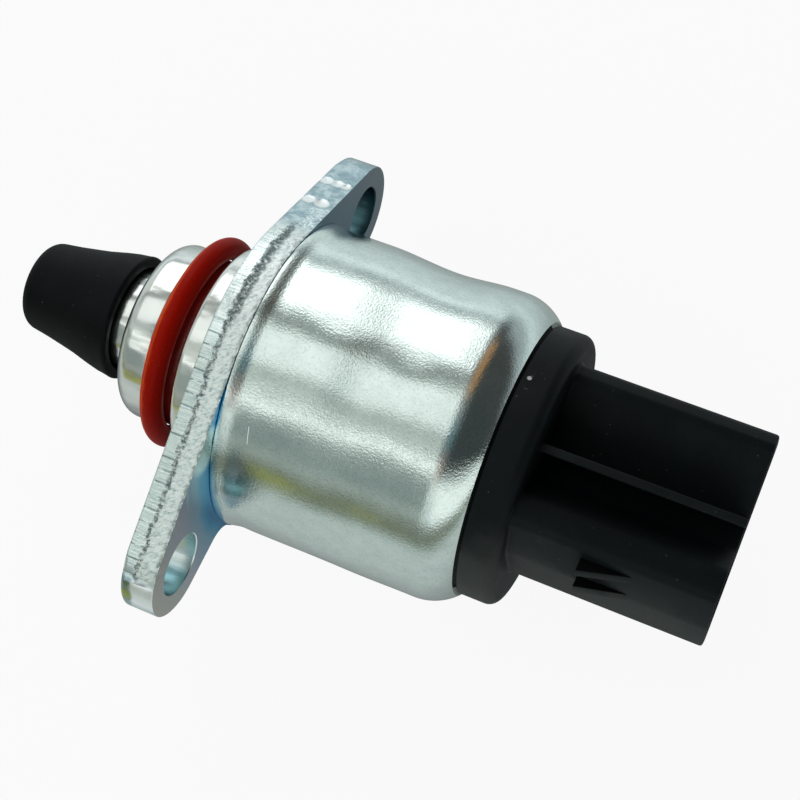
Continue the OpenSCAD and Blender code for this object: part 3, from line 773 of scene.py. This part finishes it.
def flange_outline(inset):
    """The flange's outline, moved inwards. Its count of points never changes."""
    half = HOLE_SPACING / 2
    touches = []
    for side, turn in ((half, 1), (-half, -1)):
        span = Vector((side - AXIS_Y, -AXIS_Z))
        lean = math.degrees(math.acos((DISC_R - LOBE_R) / span.length))
        touches.append(math.degrees(math.atan2(span.y, span.x)) + turn * lean)
    right, left = touches
    drop = LOWER_FILLET + LOBE_R + AXIS_Z
    along = math.sqrt((DISC_R + LOWER_FILLET) ** 2 - drop**2)
    dip = math.degrees(math.atan2(drop, along))
    lobe = LOBE_R - inset
    disc = DISC_R - inset
    hollow = LOWER_FILLET + inset
    stretches = [
        arc(half, 0, lobe, -90, right, 60),
        arc(AXIS_Y, AXIS_Z, disc, right, left, 100),
        arc(-half, 0, lobe, left, 270, 60),
        arc(AXIS_Y - along, AXIS_Z - drop, hollow, 90, dip, 12),
        arc(AXIS_Y, AXIS_Z, disc, 180 + dip, 360 - dip, 120),
        arc(AXIS_Y + along, AXIS_Z - drop, hollow, 180 - dip, 90, 12),
    ]
    points = []
    cuts_after = (110, 120, 8, 0, 0, 4)
    following = stretches[1:] + stretches[:1]
    for stretch, after, count in zip(stretches, following, cuts_after):
        points.extend(stretch if count else stretch[:-1])
        start = Vector(stretch[-1])
        end = Vector(after[0])
        for i in range(1, count):
            point = start.lerp(end, i / count)
            points.append((point.x, point.y))
    return points


def rolled_outline(inset):
    """The outline moved inwards, fully round the lobes' ends and little elsewhere."""
    fade_from = 24.6
    fade_over = 1.6
    least = 0.2
    points = []
    for full, moved in zip(flange_outline(0), flange_outline(inset)):
        share = (abs(full[0]) - fade_from) / fade_over
        share = least + (1 - least) * min(1, max(0, share))
        point = Vector(full).lerp(Vector(moved), share)
        points.append((point.x, point.y))
    return points


def hole_levels(side, up, radius, ease):
    """Rings of a hole through the plate, with its two mouths eased."""
    steps = [
        (0, radius + ease),
        (ease * 0.35, radius + ease * 0.35),
        (ease, radius),
        (PLATE_T - ease * 0.4, radius),
        (PLATE_T, radius + ease * 0.4),
    ]
    return [(x, arc(side, up, r, 0, 360, 72)[:-1]) for x, r in steps]


def shroud_outline(inset):
    """The connector's outline, moved inwards and with its corners rounded."""
    corners = [Vector((side, up)) for side, up, _ in SHROUD_CORNERS]
    radii = [radius for _, _, radius in SHROUD_CORNERS]
    count = len(corners)
    moved = []
    bends = []
    for i, corner in enumerate(corners):
        before = (corner - corners[i - 1]).normalized()
        after = (corners[(i + 1) % count] - corner).normalized()
        out_before = Vector((-before.y, before.x))
        out_after = Vector((-after.y, after.x))
        shift = inset / (1 + out_before.dot(out_after))
        moved.append(corner + (out_before + out_after) * shift)
        bends.append(1 if before.cross(after) > 0 else -1)
    points = []
    for i, corner in enumerate(moved):
        back = (moved[i - 1] - corner).normalized()
        on = (moved[(i + 1) % count] - corner).normalized()
        half = back.angle(on) / 2
        radius = max(0.3, radii[i] - bends[i] * inset)
        middle = corner + (back + on).normalized() * radius / math.sin(half)
        first = corner + back * radius / math.tan(half) - middle
        last = corner + on * radius / math.tan(half) - middle
        start = math.degrees(math.atan2(first.y, first.x))
        sweep = (math.degrees(math.atan2(last.y, last.x)) - start + 540) % 360 - 180
        points.extend(arc(middle.x, middle.y, radius, start, start + sweep, 8))
    return points


def turned_to_shroud(outline):
    """From the connector's own sides to Y and Z."""
    angle = math.radians(SHROUD_TURN)
    return [
        (
            AXIS_Y + side * math.cos(angle) - up * math.sin(angle),
            AXIS_Z + side * math.sin(angle) + up * math.cos(angle),
        )
        for side, up in outline
    ]


# Pieces


def make_flange(faces, edge, bore):
    """Stamped plate: rolled front edge, sheared wall, two rows of hammer marks."""
    bm = bmesh.new()
    along = bm.verts.layers.float.new("along")
    roll_depth = DIE_ROLL * 0.9
    quarter = arc(0, 0, 1, 90, 0, 6)
    levels = [(roll_depth * (1 - up), DIE_ROLL * (1 - out)) for out, up in quarter]
    wall_steps = 22
    wall_to = PLATE_T - 0.06
    for i in range(1, wall_steps + 1):
        levels.append((roll_depth + (wall_to - roll_depth) * i / wall_steps, 0))
    levels.append((PLATE_T, 0.05))
    rings = [(x, rolled_outline(inset)) for x, inset in levels]
    outer = skin_levels(bm, rings, 1)
    lengths = [0.0]
    outline = rings[-1][1]
    for near, far in zip(outline, outline[1:]):
        lengths.append(lengths[-1] + math.dist(near, far))
    for index, vert in enumerate(bm.verts):
        vert[along] = lengths[index % len(outline)]
    tear_wall(bm, along)
    dent_wall(bm)
    fronts = list(outer[0])
    backs = list(outer[1])
    holes = [
        (HOLE_SPACING / 2, 0, HOLE_R, HOLE_EASE),
        (-HOLE_SPACING / 2, 0, HOLE_R, HOLE_EASE),
        (AXIS_Y, AXIS_Z, SPIGOT_R, 0.05),
    ]
    for hole in holes:
        front, back = skin_levels(bm, hole_levels(*hole), 2)
        fronts += front
        backs += back
    cover(bm, fronts)
    cover(bm, backs)
    tidy_shell(bm)
    return finish_piece(
        bm, "flange_plate", "housing", [faces, edge, bore], ("mounting_flange",), "flange_steel"
    )


def sheared_share(side, up):
    """1 where the wall is sheared, 0 where it is pressed round the lobes."""
    shares = []
    for place, (low, high) in ((side, SHEAR_LOW), (side, SHEAR_HIGH), (up, SHEAR_ABOVE)):
        shares.append(min(1, max(0, (place - low) / (high - low))))
    return shares[0] * (1 - shares[1]) * shares[2]


def tear_wall(bm, along):
    """Sets the torn rear of the wall a little back, with a jagged rear corner."""
    for vert in bm.verts:
        share = sheared_share(vert.co.y, vert.co.z)
        if share == 0:
            continue
        place = vert[along]
        rim = PLATE_T * (TEAR_SHARE + 0.16 * noise.noise(Vector((place * 0.9, 3, 0))))
        torn = min(1, max(0, (vert.co.x - rim) / 0.22))
        teeth = noise.noise(Vector((place * 3.1, vert.co.x * 2.0, 7)))
        depth = share * torn * (0.09 + 0.07 * teeth)
        inwards = Vector((0, AXIS_Y - vert.co.y, AXIS_Z - vert.co.z)).normalized()
        vert.co += inwards * depth
        if vert.co.x > PLATE_T - 0.08:
            vert.co.x -= share * 0.1 * abs(noise.noise(Vector((place * 2.6, 0, 1))))


def dent_wall(bm):
    """Shallow round hammer marks across the wall beside the upper lobe."""
    inwards = Vector((0, -0.487, -0.873))
    depth = 0.16
    for vert in bm.verts:
        deepest = 0
        for place, radius in HAMMERED:
            away = math.dist(vert.co, place) / radius
            deepest = max(deepest, 1 - away * away)
        vert.co += inwards * depth * deepest


def make_can(finish):
    """Deep drawn can with its front lip, shallow waist and crimped shoulder."""
    mid = CAN_R - CRIMP_R
    crimp_x = CAN_END - CRIMP_R * math.sin(math.radians(CRIMP_ANGLE))
    waist_from = PLATE_T + 7
    waist_to = crimp_x - 1
    waist_steps = 48
    profile = [(PLATE_T, SPIGOT_R)]
    profile += [(PLATE_T + behind, CAN_R + rise) for behind, rise in LIP]
    for i in range(waist_steps + 1):
        profile.append((waist_from + (waist_to - waist_from) * i / waist_steps, CAN_R))
    profile += arc(crimp_x, mid, CRIMP_R, 90, 90 - CRIMP_ANGLE + 1, 20)
    profile += arc(crimp_x, mid, CRIMP_R - CAN_WALL, 90 - CRIMP_ANGLE, 90, 10)
    profile += [
        (PLATE_T + CAN_WALL, CAN_R - CAN_WALL),
        (PLATE_T + CAN_WALL, SPIGOT_R),
    ]
    bm = bmesh.new()
    spin_profile(bm, profile, steps=240)
    tidy_shell(bm)
    pull_waist(bm, waist_from, waist_to)
    return finish_piece(bm, "can_shell", "housing", [finish], ("motor_can",), "can_steel")


def pull_waist(bm, x0, x1):
    """Draws the can's wall in between two stations, most on its far side."""
    for vert in bm.verts:
        share = (vert.co.x - x0) / (x1 - x0)
        side = vert.co.y - AXIS_Y
        up = vert.co.z - AXIS_Z
        radius = math.hypot(side, up)
        if radius < CAN_R - 0.5 or not 0 < share < 1:
            continue
        facing = math.atan2(up, side) - math.radians(SHROUD_TURN)
        most = WAIST_DEPTH * (1 + math.cos(facing)) / 2
        wave = noise.noise(Vector((vert.co.x * 0.13, side * 0.13, up * 0.13 + 5)))
        depth = most * (1 - math.cos(2 * math.pi * share)) / 2
        depth += WALL_WAVE * wave * math.sin(math.pi * share)
        vert.co.y -= side / radius * depth
        vert.co.z -= up / radius * depth


def make_nose(finish):
    """Turned nose: guide tube, rounded shoulder, seal groove and pilot."""
    nose_r = PILOT_R - NOSE_STEP
    face = GROOVE_FRONT - SHOULDER_L
    round_r = 1.8
    lead_r = 0.9
    bush_x = face + 3
    bush_bore = 3.9
    well_r = 6
    profile = [
        (bush_x, TUBE_BORE),
        (NOSE_X + 0.2, TUBE_BORE),
        (NOSE_X, TUBE_BORE + 0.2),
        *arc(NOSE_X + 0.25, TUBE_R - 0.25, 0.25, 180, 90, 4),
        (face - 0.12, TUBE_R),
        (face, TUBE_R + 0.12),
        (face, nose_r - round_r - 0.08),
        *arc(face + round_r, nose_r - round_r, round_r, 172, 90, 16),
        *arc(GROOVE_FRONT - 0.15, nose_r - 0.15, 0.15, 90, 0, 3),
        (GROOVE_FRONT, GROOVE_R),
        (GROOVE_REAR, GROOVE_R),
        *arc(GROOVE_REAR + lead_r, PILOT_R - lead_r, lead_r, 165, 90, 10),
        (0, PILOT_R),
        (0, SPIGOT_R),
        (PLATE_T + CAN_WALL, SPIGOT_R),
        (PLATE_T + CAN_WALL, well_r),
        (0, well_r),
        (0, bush_bore),
        (bush_x, bush_bore),
    ]
    return turned_piece(
        "nose_shell",
        profile,
        "housing",
        [finish],
        stands_for=("nose_housing",),
        slot="nose_zinc",
    )


def make_seal(finish):
    """Moulded sealing ring, which sits a little askew in its groove."""
    shift = 0.14
    askew = 1
    bm = bmesh.new()
    cord = arc(SEAL_X, SEAL_R - SEAL_CORD, SEAL_CORD, 0, 360, 40)[:-1]
    spin_profile(bm, cord)
    tidy_shell(bm)
    middle = Matrix.Translation((SEAL_X, AXIS_Y, AXIS_Z))
    lean = Matrix.Translation((shift, 0, 0)) @ Matrix.Rotation(math.radians(askew), 4, "Y")
    bmesh.ops.transform(bm, matrix=middle @ lean @ middle.inverted(), verts=bm.verts)
    return finish_piece(bm, "seal_ring", "housing", [finish], ("nose_seal",), "seal_orange")


def make_pintle(finish):
    """Hollow pintle: rounded tip, seating cone, flared skirt and rounded rim."""
    flare_x = RIM_X - 6.8
    boss_from = TIP_X + 4.6
    boss_to = TIP_X + 7.6
    boss_r = 3.3
    screw_x = TIP_X + 3.3
    screw_r = 2
    profile = [
        (TIP_X, 0),
        (TIP_X, 3.2),
        *arc(TIP_X + 1.5, 3.65, 1.5, 168, 96, 12),
        (TIP_X + 3.2, 5.42),
        (flare_x, 5.85),
        (flare_x + 1.4, 6.13),
        (flare_x + 3.4, 6.65),
        (flare_x + 4.76, 6.95),
        (RIM_X - 0.8, RIM_R - 0.08),
        *arc(RIM_X - 0.4, RIM_R - 0.4, 0.4, 100, 0, 8),
        *arc(RIM_X - 0.25, RIM_R - 0.95, 0.25, 0, -90, 4),
        (RIM_X - 0.8, RIM_R - 1.2),
        (flare_x, 4.65),
        (boss_from, 4.15),
        (boss_from, boss_r),
        (boss_to, boss_r),
        (boss_to, screw_r),
        (screw_x, screw_r),
        (screw_x, 0),
    ]
    return turned_piece(
        "pintle_shell",
        profile,
        "pintle",
        [finish],
        closed=False,
        stands_for=("pintle",),
        slot="pintle_black",
        crease=40,
    )


def make_cap(finish, matt):
    """Moulded cap: land and ring, keyed shroud, socket, fin and latch ramps."""
    bm = bmesh.new()
    ring_front = RING_REAR - RING_T
    land_r = 16
    neck_r = 14.4
    bore_r = 6.55
    plug_r = 6
    plug_x = RING_REAR - 7
    round_r = 1.2
    profile = [
        (CAP_FRONT, bore_r),
        (CAP_FRONT, land_r - 0.3),
        (CAP_FRONT + 0.3, land_r),
        (CAP_FRONT + 3.4, land_r),
        (ring_front - 0.6, neck_r),
        (ring_front, neck_r),
        (ring_front, RING_R - 0.12),
        (ring_front + 0.12, RING_R),
        (RING_REAR - round_r - 0.05, RING_R),
        *arc(RING_REAR - round_r, RING_R - round_r, round_r, 86, 0, 12),
        (RING_REAR, plug_r),
        (plug_x, plug_r),
        (plug_x, bore_r),
    ]
    spin_profile(bm, profile)
    floor_x = SOCKET_END - SOCKET_DEPTH
    levels = [
        (RING_REAR - 0.5, -0.28),
        (RING_REAR, -0.28),
        (RING_REAR + 0.06, -0.14),
        (RING_REAR + 0.16, -0.05),
        (RING_REAR + 0.3, 0),
        (SOCKET_END - 0.3, 0),
        (SOCKET_END - 0.08, 0.08),
        (SOCKET_END, 0.3),
        (SOCKET_END, SHROUD_WALL - 0.3),
        (SOCKET_END - 0.35, SHROUD_WALL),
        (floor_x + 0.3, SHROUD_WALL),
        (floor_x, SHROUD_WALL + 0.25),
    ]
    rings = [(x, turned_to_shroud(shroud_outline(inset))) for x, inset in levels]
    root, floor = skin_levels(bm, rings)
    cover(bm, root)
    cover(bm, floor)
    add_fin(bm)
    add_latch_ramps(bm)
    tidy_shell(bm)
    return finish_piece(
        bm, "cap_moulding", "housing", [finish, matt], ("connector_cap",), "cap_black"
    )


def place_on_shroud(bm, verts, lean=0, at=(0, 0, 0)):
    """Turns what was made at the origin into its place on the connector."""
    turn = Matrix.Rotation(math.radians(SHROUD_TURN), 4, "X")
    axis = Matrix.Translation((0, AXIS_Y, AXIS_Z))
    own = Matrix.Translation(at) @ Matrix.Rotation(math.radians(lean), 4, "X")
    bmesh.ops.transform(bm, matrix=axis @ turn @ own, verts=verts)


def block(bm, size, middle):
    """The vertices of a box with sharp edges."""
    verts = bmesh.ops.create_cube(bm, size=1)["verts"]
    bmesh.ops.scale(bm, vec=size, verts=verts)
    bmesh.ops.translate(bm, vec=middle, verts=verts)
    return verts


def add_fin(bm):
    """Thin fin beside the flat face, along the whole shroud."""
    fin_t = 0.9
    side = 1.9
    foot = 4
    top = 12.3
    sunk = 0.2
    length = SHROUD_L + sunk
    middle = (RING_REAR - sunk + length / 2, side + fin_t / 2, (foot + top) / 2)
    _, verts = ease_edges(bm, block(bm, (length, fin_t, top - foot), middle), 0.18)
    place_on_shroud(bm, verts)


def add_latch_ramps(bm):
    """Two wedges on the slope below the lobe, matt and painted black as shade on their sides
    towards it.
    """
    top = Vector(SHROUD_CORNERS[6][:2])
    low = Vector(SHROUD_CORNERS[7][:2])
    slope = (low - top).normalized()
    lean = math.degrees(math.atan2(-slope.y, -slope.x))
    sunk = 0.5
    for step, height in LATCH_RAMPS:
        foot = top + slope * (step + LATCH_W / 2)
        size = (LATCH_L, LATCH_W, height + sunk)
        verts = block(bm, size, (LATCH_L / 2, 0, (height - sunk) / 2))
        for vert in verts:
            if vert.co.x > LATCH_L / 2 and vert.co.z > 0:
                vert.co.z = 0
        faces, verts = ease_edges(bm, verts, 0.14)
        for edge in {edge for face in faces for edge in face.edges}:
            for near in edge.link_faces:
                if near.normal.y > 0.7:
                    near.material_index = 1
        place_on_shroud(bm, verts, lean, (RING_REAR + LATCH_START, foot.x, foot.y))


def make_spring(finish):
    """Round wire coil between the pintle's boss and the guide bush."""
    bm = bmesh.new()
    wire = 0.3
    coil = 2.6
    x0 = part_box("pintle_spring")[0].x / MM + wire
    x1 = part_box("pintle_spring")[1].x / MM - wire
    turns = 6
    made = bmesh.ops.create_circle(bm, cap_ends=True, segments=12, radius=wire)
    stand = Matrix.Translation((x0, AXIS_Y, AXIS_Z + coil)) @ Matrix.Rotation(
        math.radians(90), 4, "X"
    )
    bmesh.ops.transform(bm, matrix=stand, verts=made["verts"])
    steps_per_turn = 36
    steps = turns * steps_per_turn
    bmesh.ops.spin(
        bm,
        geom=bm.verts[:] + bm.edges[:] + bm.faces[:],
        cent=(0, AXIS_Y, AXIS_Z),
        axis=(1, 0, 0),
        dvec=((x1 - x0) / steps, 0, 0),
        angle=math.radians(360 * turns),
        steps=steps,
        use_merge=False,
        use_duplicate=False,
    )
    tidy_shell(bm)
    return finish_piece(
        bm, "coil_spring", "pintle", [finish], ("pintle_spring",), "spring_steel"
    )


# Camera, floor and lights


def set_camera():
    """The photograph's view: from high above, and a little from the plug's end."""
    right = Vector((0.9110, 0.4068, -0.0681))
    up = Vector((-0.3410, 0.8356, 0.4307))
    back = Vector((0.2321, -0.3691, 0.9000))
    data = bpy.data.cameras.new("view")
    data.lens = 72
    data.sensor_width = 36
    data.clip_start = 0.005
    data.clip_end = 20
    camera = bpy.data.objects.new("view", data)
    turn = Matrix((right, up, back)).transposed().to_4x4()
    stand = Vector((56.6, -59.8, 153.3))
    camera.matrix_world = Matrix.Translation(stand * MM) @ turn
    bpy.context.scene.collection.objects.link(camera)
    bpy.context.scene.camera = camera


def add_panel(name, centre, size, strength, colour=(1, 1, 1)):
    """A soft light panel that faces the valve."""
    data = bpy.data.lights.new(name, "AREA")
    data.shape = "RECTANGLE"
    data.size = size[0] * MM
    data.size_y = size[1] * MM
    data.color = colour
    area = data.size * data.size_y
    data.energy = strength * area * math.pi
    lamp = bpy.data.objects.new(name, data)
    spot = Vector(centre)
    aim = Vector((spot.x, AXIS_Y, AXIS_Z))
    back = (spot - aim).normalized()
    side = Vector((1, 0, 0))
    side = (side - back * side.dot(back)).normalized()
    turn = Matrix((side, back.cross(side), back)).transposed().to_4x4()
    lamp.matrix_world = Matrix.Translation(spot * MM) @ turn
    bpy.context.scene.collection.objects.link(lamp)


def around(angle, distance, x):
    """A place about the axis, by its angle from +Y towards +Z."""
    a = math.radians(angle)
    return (
        x,
        AXIS_Y + distance * math.cos(a),
        AXIS_Z + distance * math.sin(a),
    )


def set_lights():
    """A window on the far side, a ceiling, a near strip, and a warm card by the plug."""
    add_panel("far_window", around(45, 420, -195), (300, 290), 1.1)
    add_panel("ceiling", around(96, 430, -200), (420, 230), 0.5)
    add_panel("near_strip", around(135, 430, -160), (420, 44), 0.85)
    add_panel("orange_card", around(64, 72, 31), (10, 52), 0.4, (1, 0.42, 0.08))


# The room, by the angle from +Y towards +Z: beyond the pintle's end, level with
# the valve, and beyond the plug's end
ROOM_FRONT = [
    (-180, (0.30, 0.33, 0.32)),
    (-2, (0.70, 0.74, 0.75)),
    (3, (0.98, 1.05, 1.06)),
    (11, (0.98, 1.05, 1.06)),
    (14, (0.38, 0.44, 0.46)),
    (19, (0.38, 0.44, 0.46)),
    (24, (0.75, 0.78, 0.77)),
    (63, (0.60, 0.62, 0.61)),
    (67, (0.28, 0.31, 0.30)),
    (74, (0.28, 0.31, 0.30)),
    (79, (0.62, 0.65, 0.63)),
    (108, (0.60, 0.63, 0.61)),
    (113, (0.50, 0.54, 0.51)),
    (119, (0.52, 0.56, 0.53)),
    (124, (0.68, 0.72, 0.68)),
    (140, (0.60, 0.64, 0.61)),
    (146, (0.30, 0.34, 0.33)),
    (162, (0.28, 0.33, 0.32)),
    (172, (0.40, 0.44, 0.41)),
    (180, (0.34, 0.37, 0.33)),
]
ROOM_MIDDLE = [
    (-180, (0.50, 0.54, 0.53)),
    (-2, (0.40, 0.45, 0.47)),
    (8, (0.40, 0.45, 0.47)),
    (18, (0.10, 0.10, 0.10)),
    (72, (0.10, 0.09, 0.08)),
    (84, (0.22, 0.23, 0.22)),
    (98, (0.30, 0.34, 0.34)),
    (106, (0.12, 0.20, 0.23)),
    (120, (0.12, 0.20, 0.23)),
    (128, (0.22, 0.17, 0.15)),
    (138, (0.34, 0.26, 0.22)),
    (146, (0.90, 0.95, 0.92)),
    (180, (0.60, 0.66, 0.66)),
]
ROOM_REAR = [
    (-180, (0.45, 0.48, 0.48)),
    (-2, (0.40, 0.45, 0.47)),
    (16, (0.40, 0.44, 0.46)),
    (28, (0.07, 0.07, 0.07)),
    (100, (0.05, 0.06, 0.06)),
    (136, (0.05, 0.06, 0.06)),
    (144, (1.10, 1.15, 1.12)),
    (176, (1.10, 1.15, 1.12)),
    (180, (0.45, 0.48, 0.48)),
]


def set_world():
    """A pale room with darker sides, which shows white behind the valve."""
    world = bpy.data.worlds.new("room")
    world.use_nodes = True
    bpy.context.scene.world = world
    room = Nodes(world.node_tree)
    towards = room.node("ShaderNodeTexCoord", output="Generated")
    x, y, z = room.parts(towards)
    angle = z.turn_from(y)
    tables = (ROOM_FRONT, ROOM_MIDDLE, ROOM_REAR)
    front, middle, rear = [room.spread(angle, -180, 180, table) for table in tables]
    seen = room.mix(x.over(-0.15, 0.0), front, middle)
    seen = room.mix(x.over(0.13, 0.26), seen, rear)
    plain = room.tree.nodes["Background"]
    room.tree.links.new(seen.socket, plain.inputs["Color"])
    white = room.node("ShaderNodeBackground", {}, {"Color": (1, 1, 1, 1)})
    camera = room.node("ShaderNodeLightPath", output="Is Camera Ray")
    room.show(camera, plain, white, "World Output")


# The table as the metal mirrors it, by Y: painted shadows, and painted reflections of what lies
# on it. The painted yellow patch fades in and out along Y, and out along X
YELLOW_FROM = (-230, -190)
YELLOW_TO = (-112, -98)
YELLOW_END = (-34, -20)
TABLE = [
    (-220, (0.22, 0.24, 0.20)),
    (-110, (0.20, 0.22, 0.15)),
    (-90, (0.42, 0.47, 0.45)),
    (-70, (0.56, 0.61, 0.59)),
    (-45, (0.60, 0.64, 0.63)),
    (-27, (0.54, 0.58, 0.57)),
    (-8, (0.20, 0.22, 0.22)),
    (15, (0.20, 0.22, 0.22)),
    (30, (0.33, 0.36, 0.35)),
    (52, (0.40, 0.45, 0.45)),
    (75, (0.54, 0.60, 0.60)),
    (140, (0.72, 0.80, 0.80)),
]


def make_floor():
    """White table under the can and the flange. Metal mirrors its own tones, which are painted
    shadows and painted reflections.
    """
    bm = bmesh.new()
    bmesh.ops.create_grid(bm, x_segments=1, y_segments=1, size=4)
    bmesh.ops.translate(bm, vec=(0, 0, cad_box[0].z), verts=bm.verts)
    mesh = bpy.data.meshes.new("table")
    bm.to_mesh(mesh)
    bm.free()
    table = bpy.data.objects.new("table", mesh)
    bpy.context.scene.collection.objects.link(table)
    top = Finish("white_table", Roughness=0.8)
    top.shader.inputs["Base Color"].default_value = (0.9, 0.9, 0.9, 1)
    camera = top.node("ShaderNodeLightPath", output="Is Camera Ray")
    glossy = top.node("ShaderNodeLightPath", output="Is Glossy Ray")
    mirrored = top.spread(top.y, -220, 220, TABLE)
    lengthwise = top.y.over(*YELLOW_FROM) * (1 - top.y.over(*YELLOW_TO))
    yellow = lengthwise * (1 - top.x.over(*YELLOW_END))
    mirrored = top.mix(yellow, mirrored, (0.42, 0.42, 0.03))
    # To glossy rays the table glows with these painted tones
    glow = top.node("ShaderNodeEmission", {}, {"Color": top.mix(glossy, (1, 1, 1), mirrored)})
    glow_share = camera * 0.92 + glossy
    top.show(glow_share, top.shader, glow, "Material Output")
    mesh.materials.append(top.material)


def dress(material, *nodes):
    """Gives solids from the frame their finish."""
    for node in nodes:
        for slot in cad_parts[node].material_slots:
            slot.material = material


def dress_inside():
    """Finishes of the pieces inside the can and of the blades in the socket."""
    cups = [f"pole_cup_{index}" for index in range(1, 5)]
    blades = [f"terminal_{index}" for index in range(1, 5)]
    races = ("bearing_inner_race", "bearing_outer_race", "bearing_balls")
    dress(plain_metal("ground_steel", (0.72, 0.72, 0.72), 0.2), *races, "preload_washer")
    dress(plain_metal("stamped_iron", (0.45, 0.47, 0.48), 0.38), *cups, "bearing_plate")
    dress(plain_metal("tinned_brass", (0.80, 0.78, 0.72), 0.24, (0.2, 1, 1)), *blades)
    dress(plain_metal("bush_bronze", (0.70, 0.50, 0.25), 0.3), "front_bush")
    dress(plain_metal("screw_steel", (0.60, 0.60, 0.60), 0.25), "lead_screw")
    dress(wound_copper(), "winding_front", "winding_rear")
    bobbins = ("bobbin_front", "bobbin_rear")
    dress(plain_moulding("bobbin_plastic", (0.78, 0.73, 0.58), 0.42), *bobbins)
    dress(plain_moulding("guide_plastic", (0.70, 0.62, 0.45), 0.4), "guide_bush")
    dress(plain_moulding("nut_plastic", (0.80, 0.80, 0.76), 0.38), "rotor_nut")
    dress(plain_moulding("ferrite", (0.05, 0.05, 0.055), 0.5), "rotor_magnet")
    dress(plain_moulding("cage_plastic", (0.62, 0.52, 0.30), 0.4), "bearing_cage")
    dress(plain_moulding("seal_rubber", (0.02, 0.02, 0.02), 0.55), "cap_seal")


def main():
    bpy.context.scene.view_settings.view_transform = "Standard"
    set_camera()
    set_world()
    set_lights()
    make_floor()
    make_flange(plated_face(), sheared_edge(), drilled_wall())
    make_can(drawn_can())
    make_nose(turned_nose())
    make_seal(orange_rubber())
    make_pintle(moulded_black("pintle_plastic", (0.0015, 0.0022, 0.0032), 0.3, 0.42))
    make_cap(moulded_black("cap_plastic", (0.006, 0.0088, 0.0098), 1.0, 0.42), matt_shade_black())
    make_spring(plain_metal("spring_wire", (0.62, 0.62, 0.60), 0.22))
    dress_inside()


main()
